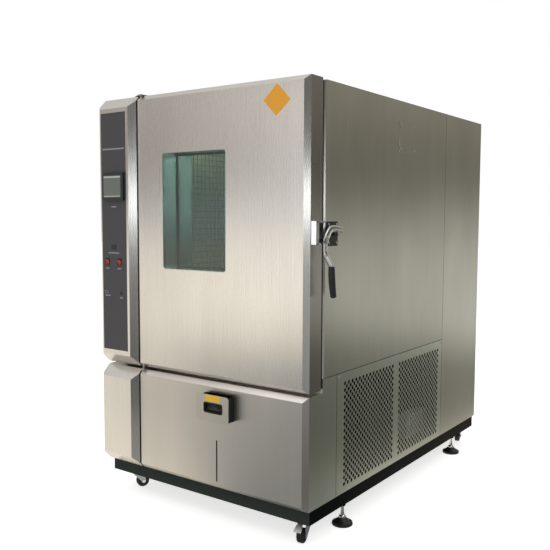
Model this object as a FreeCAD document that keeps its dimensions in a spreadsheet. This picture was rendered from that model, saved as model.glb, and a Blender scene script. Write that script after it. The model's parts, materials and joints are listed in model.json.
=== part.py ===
"""Walk-in height climatic test chamber: a stainless cabinet with a window door over a machine bay,
a control column at its left front, a water drawer, a lever latch, levelling feet and casters.

Millimetres. X runs to the right, Y to the back, Z up. The origin lies on the floor, in the middle
of the bounding box of the whole chamber at rest.
"""
import FreeCAD, Part
import os
import Sketcher
from types import SimpleNamespace

Vector = FreeCAD.Vector
doc = FreeCAD.newDocument("climatic_chamber")


# The sheet of driving sizes, in millimetres and degrees
VALUES = {
    # Whole cabinet
    "body_depth": 1885.0,
    "top_level": 1950.0,
    "roof_level": 1946.0,
    "sheet_gauge": 2.0,
    "seam_gap": 3.0,
    "seam_level": 712.0,
    "rear_seam": 1363.0,
    "post_depth": 238.0,
    "edge_bend": 6.0,
    # Door and its frame
    "door_width": 958.0,
    "door_depth": 107.0,
    "door_bevel": 21.0,
    "door_bottom": 665.0,
    "seal_gap": 16.0,
    "seal_play": 0.3,
    "seal_inset": 4.0,
    "seal_width": 24.0,
    "frame_depth": 14.0,
    "hinge_inset": 12.0,
    "hinge_front": 30.0,
    "hinge_strip": 60.0,
    "hinge_landing": 40.0,
    "hinge_plate": 5.0,
    "hinge_play": 1.0,
    "hinge_pin_radius": 5.0,
    "hinge_pin_reach": 30.0,
    "pin_play": 0.1,
    # Window in the door
    "window_right": 423.0,
    "window_width": 378.0,
    "window_bottom": 1145.0,
    "window_height": 533.0,
    "window_radius": 15.0,
    "window_frame_gauge": 3.0,
    "pane_gauge": 6.0,
    "pane_recess": 2.0,
    # Test space
    "room_height": 1000.0,
    "room_depth": 1000.0,
    "room_floor": 800.0,
    "room_wall": 79.0,
    "duct_front": 290.0,
    "duct_depth": 560.0,
    "duct_height": 900.0,
    "duct_gauge": 5.0,
    "duct_margin": 20.0,
    "duct_hole": 52.0,
    "duct_columns": 7,
    "duct_rows": 12,
    "standard_width": 14.0,
    "standard_gauge": 5.0,
    "standard_front": 178.0,
    "standard_back": 87.0,
    "standard_margin": 30.0,
    "standard_slots": 12,
    # Control column
    "column_width": 234.0,
    "column_gap": 8.0,
    "column_proud": 31.0,
    "column_bevel": 50.0,
    "column_side_bevel": 29.0,
    "column_left_bevel": 12.0,
    "fascia_left": 20.0,
    "fascia_width": 170.0,
    "fascia_bottom": 738.0,
    "fascia_height": 1142.0,
    "fascia_gauge": 3.0,
    "fascia_recess": 0.8,
    "fascia_play": 0.4,
    "screen_left": 41.0,
    "screen_width": 139.0,
    "screen_bottom": 1463.0,
    "screen_height": 134.0,
    "screen_proud": 12.0,
    "glass_left": 4.0,
    "glass_width": 119.0,
    "glass_bottom": 15.0,
    "glass_height": 104.0,
    "glass_sunk": 0.8,
    "glass_gauge": 2.2,
    "counter_left": 83.0,
    "counter_width": 34.0,
    "counter_bottom": 1226.0,
    "counter_height": 25.0,
    "counter_proud": 1.5,
    "rocker_left": 54.0,
    "rocker_right": 137.0,
    "rocker_level": 1168.0,
    "rocker_width": 20.0,
    "rocker_height": 26.0,
    "rocker_rim": 3.5,
    "rocker_play": 1.0,
    "rocker_wall": 1.5,
    "rocker_depth": 12.0,
    "rocker_pivot": 1.0,
    "rocker_pin": 1.5,
    "ring_proud": 2.0,
    "rocker_tilt": 10.0,
    "rocker_proud": 6.0,
    "rocker_dish": 3.0,
    "socket_left": 46.0,
    "socket_level": 1020.0,
    "socket_width": 26.0,
    "socket_height": 12.0,
    "socket_flange": 2.0,
    "socket_body": 14.0,
    "socket_mouth": 13.0,
    "socket_slot": 5.5,
    "buzzer_left": 146.0,
    "buzzer_level": 1018.0,
    "buzzer_proud": 2.5,
    "buzzer_radius": 7.0,
    # Lower body
    "lower_top": 652.0,
    "base_top": 168.0,
    "base_bottom": 103.0,
    "base_front": 41.0,
    "base_rear": 13.0,
    "base_side": 8.0,
    "base_left": 2.0,
    "rail_width": 50.0,
    "sight_right": 474.0,
    "sight_width": 8.0,
    "sight_bottom": 204.0,
    "sight_height": 188.0,
    "sight_lap": 4.0,
    # Water drawer
    "drawer_right": 376.0,
    "drawer_width": 187.0,
    "drawer_bottom": 487.0,
    "drawer_height": 120.0,
    "drawer_out": 42.0,
    "drawer_length": 300.0,
    "drawer_plate": 4.0,
    "drawer_wall": 3.0,
    "drawer_margin": 6.0,
    "drawer_lip": 12.0,
    "drawer_play": 2.0,
    "drawer_radius": 14.0,
    "pull_right": 34.0,
    "pull_width": 108.0,
    "pull_bottom": 38.0,
    "pull_height": 48.0,
    "pull_radius": 10.0,
    "pull_depth": 24.0,
    "pull_rim": 4.0,
    "pull_proud": 1.5,
    # Service panel with its two punched fields
    "service_flange": 28.0,
    "field_front": 299.0,
    "field_width": 480.0,
    "field_second": 829.0,
    "field_bottom": 197.0,
    "field_height": 470.0,
    "field_hole": 50.0,
    "field_columns": 6,
    "field_rows": 6,
    # Cover plate and screws
    "cover_front": 799.0,
    "cover_width": 176.0,
    "cover_bottom": 1703.0,
    "cover_height": 143.0,
    "cover_gauge": 2.5,
    "screw_radius": 5.0,
    "screw_height": 2.0,
    "screw_inset": 14.0,
    # Lever latch on the right side of the door
    "latch_front": 24.0,
    "latch_depth": 80.0,
    "latch_bottom": 1278.0,
    "latch_height": 94.0,
    "latch_reach": 26.0,
    "latch_wall": 8.0,
    "pivot_back": 78.0,
    "pivot_level": 1296.0,
    "pivot_radius": 7.0,
    "pivot_cap": 3.0,
    "lever_clear": 2.0,
    "lever_gauge": 14.0,
    "hub_radius": 17.0,
    "arm_reach": 130.0,
    "arm_rise": 50.0,
    "stem_length": 58.0,
    "stem_width": 16.0,
    "handle_jog": 26.0,
    "handle_drop": 50.0,
    "handle_blend": 8.0,
    "grip_radius": 12.0,
    "grip_length": 128.0,
    "grip_back": 22.0,
    "strike_front": 140.0,
    "strike_width": 86.0,
    "strike_bottom": 1267.0,
    "strike_height": 103.0,
    "strike_gauge": 4.0,
    "roller_back": 176.0,
    "roller_level": 1321.0,
    "roller_radius": 9.0,
    "cheek_half": 8.0,
    # Casters and levelling feet
    "wheel_radius": 32.0,
    "wheel_width": 28.0,
    "hub_width": 32.0,
    "axle_radius": 5.0,
    "axle_boss": 10.0,
    "axle_end": 2.0,
    "caster_trail": 32.0,
    "caster_side": 80.0,
    "caster_front": 118.0,
    "caster_rear": 70.0,
    "fork_gauge": 3.0,
    "fork_width": 44.0,
    "fork_top": 97.0,
    "crown_half": 21.0,
    "crown_gauge": 6.0,
    "plate_gauge": 5.5,
    "plate_side": 90.0,
    "brake_length": 20.0,
    "brake_drop": 21.0,
    "brake_gauge": 4.0,
    "brake_pivot": 18.0,
    "brake_level": 84.0,
    "brake_pin": 3.5,
    "brake_hub": 6.5,
    "turn_front_right": 279.0,
    "turn_front_left": 62.0,
    "turn_rear_right": 105.0,
    "turn_rear_left": 60.0,
    "foot_side": 32.0,
    "foot_front": 350.0,
    "foot_rear": 280.0,
    "foot_radius": 48.0,
    "foot_skirt": 9.0,
    "foot_height": 34.0,
    "foot_cone": 22.0,
    "lug_radius": 15.0,
    "lug_height": 14.0,
    "stem_radius": 8.0,
    "stem_top": 130.0,
    "foot_travel": 24.0,
    # Machine bay
    "compressor_side": 320.0,
    "compressor_back": 1090.0,
    "compressor_radius": 82.0,
    "compressor_height": 270.0,
    "junction_side": 117.0,
    "junction_front": 1180.0,
    "junction_width": 251.0,
    "junction_height": 127.0,
    "junction_depth": 60.0,
    "gland_side": 300.0,
    "gland_level": 420.0,
    "gland_radius": 16.0,
    "gland_reach": 25.0,
}

sheet = doc.addObject("Spreadsheet::Sheet", "Sizes")
for row, (alias, value) in enumerate(VALUES.items(), start=1):
    sheet.set("A%d" % row, alias)
    sheet.set("B%d" % row, str(value))
    sheet.setAlias("B%d" % row, alias)
doc.recompute()


# A size is a number with the sheet formula that it comes from, so that both stay together
class Size:
    def __init__(self, number, formula):
        self.number = float(number)
        self.formula = formula

    def __add__(self, other):
        other = as_size(other)
        return Size(self.number + other.number, "(%s + %s)" % (self.formula, other.formula))

    def __radd__(self, other):
        return as_size(other) + self

    def __sub__(self, other):
        other = as_size(other)
        return Size(self.number - other.number, "(%s - %s)" % (self.formula, other.formula))

    def __rsub__(self, other):
        return as_size(other) - self

    def __mul__(self, other):
        other = as_size(other)
        return Size(self.number * other.number, "(%s * %s)" % (self.formula, other.formula))

    def __rmul__(self, other):
        return as_size(other) * self

    def __truediv__(self, other):
        other = as_size(other)
        return Size(self.number / other.number, "(%s / %s)" % (self.formula, other.formula))

    def __neg__(self):
        return Size(-self.number, "(0 - %s)" % self.formula)


def as_size(value):
    if isinstance(value, Size):
        return value
    return Size(value, "%.6g" % value if value >= 0 else "(0 - %.6g)" % -value)


S = SimpleNamespace(**{name: Size(value, "Sizes.%s" % name) for name, value in VALUES.items()})


# Small helpers that bind each property to the sheet
def bind(target, path, size):
    target.setExpression(path, as_size(size).formula)


def put(target, x=0, y=0, z=0, rotation=None):
    spot = Vector(as_size(x).number, as_size(y).number, as_size(z).number)
    target.Placement = FreeCAD.Placement(spot, rotation or FreeCAD.Rotation())
    for axis, size in (("x", x), ("y", y), ("z", z)):
        if isinstance(size, Size):
            bind(target, "Placement.Base.%s" % axis, size)
    return target


def box(name, x0, x1, y0, y1, z0, z1):
    block = doc.addObject("Part::Box", name)
    bind(block, "Length", as_size(x1) - x0)
    bind(block, "Width", as_size(y1) - y0)
    bind(block, "Height", as_size(z1) - z0)
    return put(block, x0, y0, z0)


TURNS = {
    "x": FreeCAD.Rotation(Vector(0, 1, 0), 90),
    "y": FreeCAD.Rotation(Vector(1, 0, 0), -90),
    "z": FreeCAD.Rotation(),
}


def rod(name, axis, x, y, z, radius, length):
    cylinder = doc.addObject("Part::Cylinder", name)
    bind(cylinder, "Radius", radius)
    bind(cylinder, "Height", length)
    return put(cylinder, x, y, z, TURNS[axis])


def cut(name, base, tool):
    result = doc.addObject("Part::Cut", name)
    result.Base = base
    result.Tool = tool
    return result


def fuse(name, pieces):
    result = doc.addObject("Part::MultiFuse", name)
    result.Shapes = pieces
    result.Refine = True
    return result


def common(name, first, second):
    result = doc.addObject("Part::Common", name)
    result.Base = first
    result.Tool = second
    return result


def origin_plane(body, role):
    for feature in body.Origin.OriginFeatures:
        if feature.Role == role:
            return feature
    raise ValueError(role)


def new_sketch(body, role, name):
    sketch = body.newObject("Sketcher::SketchObject", name)
    sketch.AttachmentSupport = [(origin_plane(body, role), "")]
    sketch.MapMode = "FlatFace"
    return sketch


def pin_point(sketch, curve, end, x, y):
    """Fixes one point of a sketch at two sizes from its origin."""
    for kind, size in (("DistanceX", as_size(x)), ("DistanceY", as_size(y))):
        number = sketch.addConstraint(Sketcher.Constraint(kind, -1, 1, curve, end, size.number))
        sketch.setExpression("Constraints[%d]" % number, size.formula)


def draw_polygon(sketch, points):
    corners = [(as_size(x), as_size(y)) for x, y in points]
    first = sketch.GeometryCount
    count = len(corners)
    for index in range(count):
        start = corners[index]
        stop = corners[(index + 1) % count]
        line = Part.LineSegment(Vector(start[0].number, start[1].number, 0),
                                Vector(stop[0].number, stop[1].number, 0))
        sketch.addGeometry(line, False)
    for index in range(count):
        following = first + (index + 1) % count
        sketch.addConstraint(Sketcher.Constraint("Coincident", first + index, 2, following, 1))
    for index, (x, y) in enumerate(corners):
        pin_point(sketch, first + index, 1, x, y)


def draw_circle(sketch, x, y, radius):
    x, y, radius = as_size(x), as_size(y), as_size(radius)
    circle = Part.Circle(Vector(x.number, y.number, 0), Vector(0, 0, 1), radius.number)
    curve = sketch.addGeometry(circle, False)
    pin_point(sketch, curve, 3, x, y)
    number = sketch.addConstraint(Sketcher.Constraint("Radius", curve, radius.number))
    sketch.setExpression("Constraints[%d]" % number, radius.formula)


PLANES = {"XY": "XY_Plane", "XZ": "XZ_Plane", "YZ": "YZ_Plane"}
NORMALS = {"XY": "z", "XZ": "y", "YZ": "x"}


def prism(name, plane, outlines, start, depth):
    """A body padded from polygons or circles in one plane, from start along that plane's axis."""
    body = doc.addObject("PartDesign::Body", name)
    sketch = new_sketch(body, PLANES[plane], name + "_outline")
    for outline in outlines:
        if len(outline) == 3 and not isinstance(outline[0], tuple):
            draw_circle(sketch, *outline)
        else:
            draw_polygon(sketch, outline)
    pad = body.newObject("PartDesign::Pad", name + "_pad")
    pad.Profile = sketch
    pad.Reversed = plane == "XZ"
    bind(pad, "Length", depth)
    body.Tip = pad
    return put(body, **{NORMALS[plane]: start})


def turned(name, points, x, y, z, rotation=None):
    """A body of revolution about its own Z axis, from a half outline of radius and height."""
    body = doc.addObject("PartDesign::Body", name)
    sketch = new_sketch(body, "XZ_Plane", name + "_half")
    draw_polygon(sketch, points)
    turn = body.newObject("PartDesign::Revolution", name + "_turn")
    turn.Profile = sketch
    turn.ReferenceAxis = (sketch, ["V_Axis"])
    turn.Angle = 360
    body.Tip = turn
    return put(body, x, y, z, rotation)


def rounded_block(name, x0, x1, y0, y1, z0, z1, radius):
    """A block along Y whose four long edges are round."""
    block = box(name + "_block", x0, x1, y0, y1, z0, z1)
    doc.recompute()
    fillet = doc.addObject("Part::Fillet", name)
    fillet.Base = block
    along = []
    for number, edge in enumerate(block.Shape.Edges, start=1):
        if abs(edge.tangentAt(edge.FirstParameter).y) > 0.9:
            along.append((number, as_size(radius).number, as_size(radius).number))
    fillet.Edges = along
    return fillet


def bevelled(name, x0, x1, y0, y1, z0, z1, left, right, low, high):
    """A block whose front edges are cut back at 45 degrees, each by a width of its own."""
    plan = [(x0 + left, y0), (x1 - right, y0), (x1, y0 + right), (x1, y1), (x0, y1), (x0, y0 + left)]
    side = [(y0, z0 + low), (y0 + low, z0), (y1, z0), (y1, z1), (y0 + high, z1), (y0, z1 - high)]
    outline = prism(name + "_plan", "XY", [unique(plan)], z0, z1 - z0)
    profile = prism(name + "_side", "YZ", [unique(side)], x0, x1 - x0)
    return common(name, outline, profile)


def unique(points):
    """Leaves out a corner that falls on the one before it."""
    kept = []
    for x, y in points:
        x, y = as_size(x), as_size(y)
        same = kept and abs(kept[-1][0].number - x.number) + abs(kept[-1][1].number - y.number) < 1e-6
        if not same:
            kept.append((x, y))
    first, last = kept[0], kept[-1]
    if abs(first[0].number - last[0].number) + abs(first[1].number - last[1].number) < 1e-6:
        kept.pop()
    return kept


# Corners of a regular hexagon and of a twelve-sided outline of radius one
HEXAGON = ((1, 0), (0.5, 0.866), (-0.5, 0.866), (-1, 0), (-0.5, -0.866), (0.5, -0.866))
DODECAGON = ((1, 0), (0.866, 0.5), (0.5, 0.866), (0, 1), (-0.5, 0.866), (-0.866, 0.5), (-1, 0),
             (-0.866, -0.5), (-0.5, -0.866), (0, -1), (0.5, -0.866), (0.866, -0.5))


def ring_of(shape, x, y, radius):
    """The corners of one of these outlines round a centre."""
    return [(x + radius * across, y + radius * along) for across, along in shape]


nodes = []


def node(label, piece):
    piece.Label = label
    nodes.append(piece)
    return piece


# Places that many pieces share, worked out from the sheet
lever_inner = S.latch_reach + S.lever_clear
grip_centre = lever_inner + S.lever_gauge / 2 + S.handle_jog
side_reach = grip_centre + S.grip_radius
foot_overhang = S.foot_radius - S.foot_side
body_width = S.column_width + S.column_gap + S.door_width
right = (body_width + foot_overhang - side_reach) / 2
left = right - body_width
front = (S.drawer_out + S.pull_proud - S.body_depth - S.gland_reach) / 2
back = front + S.body_depth

door_left = right - S.door_width
column_right = left + S.column_width
column_front = front - S.column_proud
door_back = front + S.door_depth
frame_front = door_back + S.seal_gap
frame_back = frame_front + S.frame_depth
rear_seam = front + S.rear_seam
post_back = front + S.post_depth
lower_panel_top = S.seam_level - S.seam_gap / 2
upper_panel_bottom = S.seam_level + S.seam_gap / 2
room_right = right - S.room_wall
room_left = door_left + S.room_wall
room_top = S.room_floor + S.room_height
room_back = frame_back + S.room_depth
hinge_x = door_left + S.hinge_inset
hinge_y = front + S.hinge_inset
gauge = S.sheet_gauge
half_seam = S.seam_gap / 2


# Base frame: four rails with a floor sheet, two crossbars, the caster plates and the feet's lugs
base_x0 = left + S.base_left
base_x1 = right - S.base_side
base_y0 = front + S.base_front
base_y1 = back - S.base_rear
caster_spots = {
    "front_right": (right - S.caster_side, front + S.caster_front, S.turn_front_right),
    "front_left": (left + S.caster_side, front + S.caster_front, S.turn_front_left),
    "rear_right": (right - S.caster_side, back - S.caster_rear, S.turn_rear_right),
    "rear_left": (left + S.caster_side, back - S.caster_rear, S.turn_rear_left),
}
foot_spots = {
    "front_right": (right - S.foot_side, front + S.foot_front),
    "front_left": (left + S.foot_side, front + S.foot_front),
    "rear_right": (right - S.foot_side, back - S.foot_rear),
    "rear_left": (left + S.foot_side, back - S.foot_rear),
}
base_outer = box("base_outer", base_x0, base_x1, base_y0, base_y1, S.base_bottom, S.base_top)
base_hollow = box("base_hollow", base_x0 + S.rail_width, base_x1 - S.rail_width,
                  base_y0 + S.rail_width, base_y1 - S.rail_width,
                  S.base_bottom, S.base_top - 1.5 * gauge)
base_pieces = [cut("base_rails", base_outer, base_hollow)]
for part_name, share in (("front", 1 / 3), ("rear", 2 / 3)):
    bar_y = base_y0 + (base_y1 - base_y0) * share
    base_pieces.append(box("base_bar_" + part_name, base_x0 + S.rail_width, base_x1 - S.rail_width,
                           bar_y - S.rail_width / 2, bar_y + S.rail_width / 2,
                           S.base_bottom + gauge, S.base_top - 1.5 * gauge))
for corner, (x, y, angle) in caster_spots.items():
    base_pieces.append(box("base_plate_" + corner, x - S.plate_side / 2, x + S.plate_side / 2,
                           y - S.plate_side / 2, y + S.plate_side / 2,
                           S.base_bottom - S.plate_gauge, S.base_bottom + gauge))
for corner, (x, y) in foot_spots.items():
    base_pieces.append(rod("foot_lug_" + corner, "z", x, y, S.base_bottom - S.lug_height,
                           S.lug_radius, S.lug_height + gauge))
hole_bottom = S.base_bottom - S.lug_height - 1
stem_holes = [
    rod("stem_hole_" + corner, "z", x, y, hole_bottom, S.stem_radius + S.pin_play,
        S.stem_top + S.foot_travel + 2 - hole_bottom)
    for corner, (x, y) in foot_spots.items()
]
base = cut("base_drilled", fuse("base_solid", base_pieces), fuse("stem_holes", stem_holes))
node("base_frame", base)


# Right side: upper panel with a bent front edge, rear bay panel and the L-shaped front post
side_plan = [
    (right, frame_back), (right, rear_seam - half_seam), (right - gauge, rear_seam - half_seam),
    (right - gauge, frame_back), (right - S.edge_bend - gauge, frame_front),
    (right - S.edge_bend, frame_front),
]
node("side_panel_right", prism("side_right", "XY", [side_plan], upper_panel_bottom,
                               S.roof_level - gauge - upper_panel_bottom))
node("rear_bay_panel_right", box("rear_bay_right", right - gauge, right, rear_seam + half_seam, back,
                                 S.base_top, S.roof_level - gauge))
post_outline = [
    (front + S.door_bevel, S.base_top), (post_back - half_seam, S.base_top),
    (post_back - half_seam, lower_panel_top), (frame_front, lower_panel_top),
    (frame_front, S.lower_top), (front + S.door_bevel, S.lower_top),
]
node("front_post_right", prism("post_right", "YZ", [post_outline], right - gauge, gauge))

# Service panel: one sheet punched in two fields, whose lower flange stands on the base frame
service = doc.addObject("PartDesign::Body", "service")
service_sketch = new_sketch(service, "YZ_Plane", "service_outline")
service_y0 = post_back + half_seam
service_y1 = rear_seam - half_seam
draw_polygon(service_sketch, [(service_y0, S.base_top), (service_y1, S.base_top),
                              (service_y1, lower_panel_top), (service_y0, lower_panel_top)])
service_pad = service.newObject("PartDesign::Pad", "service_pad")
service_pad.Profile = service_sketch
bind(service_pad, "Length", gauge)
put(service, x=right - gauge)
service.Tip = service_pad
doc.recompute()


def punch(body, name, plane, x0, y0, width, height, hole_x, hole_y, columns, rows, depth):
    """Cuts a grid of rectangular holes into a padded body, as a pocket repeated both ways."""
    sketch = new_sketch(body, plane, name + "_hole")
    draw_polygon(sketch, [(x0, y0), (x0 + hole_x, y0), (x0 + hole_x, y0 + hole_y), (x0, y0 + hole_y)])
    pocket = body.newObject("PartDesign::Pocket", name + "_pocket")
    pocket.Profile = sketch
    pocket.Reversed = True
    bind(pocket, "Length", depth)
    body.Tip = pocket
    doc.recompute()
    grid = body.newObject("PartDesign::MultiTransform", name + "_grid")
    grid.Originals = [pocket]
    steps = []
    for axis, count, span in (("H_Axis", columns, width - hole_x), ("V_Axis", rows, height - hole_y)):
        if as_size(count).number > 1:
            step = body.newObject("PartDesign::LinearPattern", name + "_" + axis[0].lower())
            step.Direction = (sketch, [axis])
            bind(step, "Length", span)
            bind(step, "Occurrences", count)
            steps.append(step)
    grid.Transformations = steps
    body.Tip = grid
    doc.recompute()


for field_name, field_y in (("front_field", S.field_front), ("rear_field", S.field_second)):
    punch(service, field_name, "YZ_Plane", front + field_y, S.field_bottom, S.field_width,
          S.field_height, S.field_hole, S.field_hole, S.field_columns, S.field_rows, 2 * gauge)
service_flange = box("service_flange", right - gauge - S.service_flange, right - gauge,
                     service_y0 + S.service_flange, service_y1 - S.service_flange, S.base_top,
                     S.base_top + gauge)
node("service_panel", fuse("service_set", [service, service_flange]))

# Cover plate, and the pan head screws of the cover plate and of the service panel
cover_y0 = front + S.cover_front
node("cover_plate", box("cover", right, right + S.cover_gauge, cover_y0, cover_y0 + S.cover_width,
                        S.cover_bottom, S.cover_bottom + S.cover_height))
screw_spots = [
    (right + S.cover_gauge, y, z)
    for y in (cover_y0 + S.screw_inset, cover_y0 + S.cover_width - S.screw_inset)
    for z in (S.cover_bottom + S.screw_inset, S.cover_bottom + S.cover_height - S.screw_inset)
]
screw_spots += [
    (right, y, z)
    for y in (service_y0 + S.screw_inset, service_y1 - S.screw_inset)
    for z in (S.base_top + S.screw_inset, lower_panel_top - S.screw_inset)
]
screws = [prism("screw_%d" % number, "YZ", [ring_of(DODECAGON, y, z, S.screw_radius)], x, S.screw_height)
          for number, (x, y, z) in enumerate(screw_spots, start=1)]
node("panel_screws", fuse("screws", screws))

# Roof, left side and back
node("top_panel", box("roof", left, right, frame_back, back, S.roof_level - gauge, S.roof_level))
node("side_panel_left", box("side_left", left, left + gauge, frame_back, back,
                            S.base_top, S.roof_level - gauge))
gland_x = right - S.gland_side
rear_sheet = box("rear_sheet", left + gauge, right - gauge, back - gauge, back,
                 S.base_top, S.roof_level - gauge)
gland_hole = rod("gland_hole", "y", gland_x, back - 2 * gauge, S.gland_level, S.gland_radius * 0.7,
                 4 * gauge)
node("rear_panel", cut("rear_drilled", rear_sheet, gland_hole))


# Power gland: a hexagonal foot and a hexagonal cap round one bore
def gland_nut(name, radius, start, depth):
    bore = (gland_x, S.gland_level, S.gland_radius * 0.35)
    return prism(name, "XZ", [ring_of(HEXAGON, gland_x, S.gland_level, radius), bore], start, depth)


gland_base = gland_nut("gland_base", S.gland_radius, back, S.gland_reach * 0.4)
gland_cap = gland_nut("gland_cap", S.gland_radius * 0.85, back + S.gland_reach * 0.4, S.gland_reach * 0.6)
node("power_gland", fuse("gland", [gland_base, gland_cap]))


# Test space: sheet liner open to the front, insulation round it and the frame that the door closes on
liner_outer = box("liner_outer", room_left - gauge, room_right + gauge, frame_back, room_back + gauge,
                  S.room_floor - gauge, room_top + gauge)
liner_hollow = box("liner_hollow", room_left, room_right, frame_back, room_back, S.room_floor, room_top)
node("inner_liner", cut("liner", liner_outer, liner_hollow))
insulation_block = box("insulation_block", column_right + gauge, right - gauge, frame_back,
                       rear_seam - half_seam, upper_panel_bottom, S.roof_level - gauge)
insulation_hollow = box("insulation_hollow", room_left - gauge, room_right + gauge, frame_back,
                        room_back + gauge, S.room_floor - gauge, room_top + gauge)
node("cabinet_insulation", cut("insulation", insulation_block, insulation_hollow))

frame_right = right - S.edge_bend - gauge
frame_sheet = box("frame_sheet", column_right + gauge, frame_right, frame_front, frame_back,
                  upper_panel_bottom, S.roof_level - gauge)
frame_foot = box("frame_foot", column_right + gauge, right - gauge, frame_front, frame_back,
                 S.lower_top - gauge, upper_panel_bottom)
frame_ledge = box("frame_ledge", door_left, right - gauge, front + S.door_bevel, frame_front,
                  S.lower_top - gauge, S.lower_top)
frame_opening = box("frame_opening", room_left, room_right, frame_front, frame_back, S.room_floor,
                    room_top)
node("front_frame", cut("frame", fuse("frame_solid", [frame_sheet, frame_foot, frame_ledge]),
                        frame_opening))


# Slotted shelf standards, two on each side wall, and the square grid of the air duct on the left wall
def shelf_standard(name, x, y):
    strip = doc.addObject("PartDesign::Body", name)
    sketch = new_sketch(strip, "YZ_Plane", name + "_outline")
    low = S.room_floor + S.standard_margin
    high = room_top - S.standard_margin
    draw_polygon(sketch, [(y, low), (y + S.standard_width, low), (y + S.standard_width, high), (y, high)])
    pad = strip.newObject("PartDesign::Pad", name + "_pad")
    pad.Profile = sketch
    bind(pad, "Length", S.standard_gauge)
    put(strip, x=x)
    strip.Tip = pad
    doc.recompute()
    slot = S.standard_width / 2
    punch(strip, name, "YZ_Plane", y + slot / 2, low + slot, slot, high - low - 2 * slot,
          slot, 2 * slot, as_size(1), S.standard_slots, 2 * S.standard_gauge)
    return strip


standards = []
for side_name, x in (("left", room_left), ("right", room_right - S.standard_gauge)):
    for end_name, y in (("front", front + S.standard_front), ("rear", room_back - S.standard_back)):
        standards.append(shelf_standard("standard_%s_%s" % (side_name, end_name), x, y))
node("shelf_standards", fuse("standards", standards))

duct = doc.addObject("PartDesign::Body", "duct")
duct_sketch = new_sketch(duct, "YZ_Plane", "duct_outline")
duct_y0 = front + S.duct_front
duct_z0 = S.room_floor + (S.room_height - S.duct_height) / 2
draw_polygon(duct_sketch, [(duct_y0, duct_z0), (duct_y0 + S.duct_depth, duct_z0),
                           (duct_y0 + S.duct_depth, duct_z0 + S.duct_height),
                           (duct_y0, duct_z0 + S.duct_height)])
duct_pad = duct.newObject("PartDesign::Pad", "duct_pad")
duct_pad.Profile = duct_sketch
bind(duct_pad, "Length", S.duct_gauge)
put(duct, x=room_left)
duct.Tip = duct_pad
doc.recompute()
punch(duct, "duct_grid", "YZ_Plane", duct_y0 + S.duct_margin, duct_z0 + S.duct_margin,
      S.duct_depth - 2 * S.duct_margin, S.duct_height - 2 * S.duct_margin, S.duct_hole, S.duct_hole,
      S.duct_columns, S.duct_rows, 2 * S.duct_gauge)
node("air_duct_grille", duct)


# Control column: two bevelled sheet shells, open at the back
def column_shell(name, low, high):
    outer = bevelled(name + "_outer", left, column_right, column_front, frame_back, low, high,
                     S.column_left_bevel, S.column_side_bevel, S.column_bevel, S.column_bevel)
    hollow = bevelled(name + "_hollow", left + gauge, column_right - gauge, column_front + gauge,
                      frame_back + 1, low + gauge, high - gauge, S.column_left_bevel,
                      S.column_side_bevel, S.column_bevel, S.column_bevel)
    return cut(name, outer, hollow)


fascia_x0 = left + S.fascia_left
fascia_x1 = fascia_x0 + S.fascia_width
fascia_z1 = S.fascia_bottom + S.fascia_height
fascia_face = column_front + S.fascia_recess
fascia_back = fascia_face + S.fascia_gauge
upper_shell = column_shell("column_upper", S.door_bottom, S.top_level)
fascia_opening = box("fascia_opening", fascia_x0, fascia_x1, column_front - 1, column_front + 2 * gauge,
                     S.fascia_bottom, fascia_z1)
node("column_upper_shell", cut("column_upper_open", upper_shell, fascia_opening))
node("column_lower_shell", column_shell("column_lower", S.base_top, S.lower_top))

# Dark fascia with cutouts for the two rockers and the data socket
fascia_sheet = box("fascia_sheet", fascia_x0 + S.fascia_play, fascia_x1 - S.fascia_play, fascia_face,
                   fascia_back, S.fascia_bottom + S.fascia_play, fascia_z1 - S.fascia_play)
rocker_spots = {"left": left + S.rocker_left, "right": left + S.rocker_right}
rocker_half_x = S.rocker_width / 2 + S.rocker_play
rocker_half_z = S.rocker_height / 2 + S.rocker_play
housing_half_x = rocker_half_x + S.rocker_wall
housing_half_z = rocker_half_z + S.rocker_wall
fascia_cutouts = [
    box("rocker_cutout_" + side_name, x - housing_half_x, x + housing_half_x, fascia_face - 1,
        fascia_back + 1, S.rocker_level - housing_half_z, S.rocker_level + housing_half_z)
    for side_name, x in rocker_spots.items()
]
socket_x = left + S.socket_left
socket_half_x = S.socket_width / 2 - S.socket_flange
socket_half_z = S.socket_height / 2 - S.socket_flange
fascia_cutouts.append(box("socket_cutout", socket_x - socket_half_x, socket_x + socket_half_x,
                          fascia_face - 1, fascia_back + 1, S.socket_level - socket_half_z,
                          S.socket_level + socket_half_z))
node("control_fascia", cut("fascia", fascia_sheet, fuse("fascia_cutouts", fascia_cutouts)))

# Touch screen: a proud bezel round a sunk glass
screen_x0 = left + S.screen_left
screen_face = column_front - S.screen_proud
glass_x0 = screen_x0 + S.glass_left
glass_z0 = S.screen_bottom + S.glass_bottom
screen_block = box("screen_block", screen_x0, screen_x0 + S.screen_width, screen_face, fascia_face,
                   S.screen_bottom, S.screen_bottom + S.screen_height)
glass_face = screen_face + S.glass_sunk
glass_back = glass_face + S.glass_gauge
glass_seat = box("glass_seat", glass_x0, glass_x0 + S.glass_width, screen_face - 1, glass_back,
                 glass_z0, glass_z0 + S.glass_height)
node("touch_panel_bezel", cut("screen_bezel", screen_block, glass_seat))
node("touch_panel_screen", box("screen_glass", glass_x0, glass_x0 + S.glass_width, glass_face,
                               glass_back, glass_z0, glass_z0 + S.glass_height))

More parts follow.
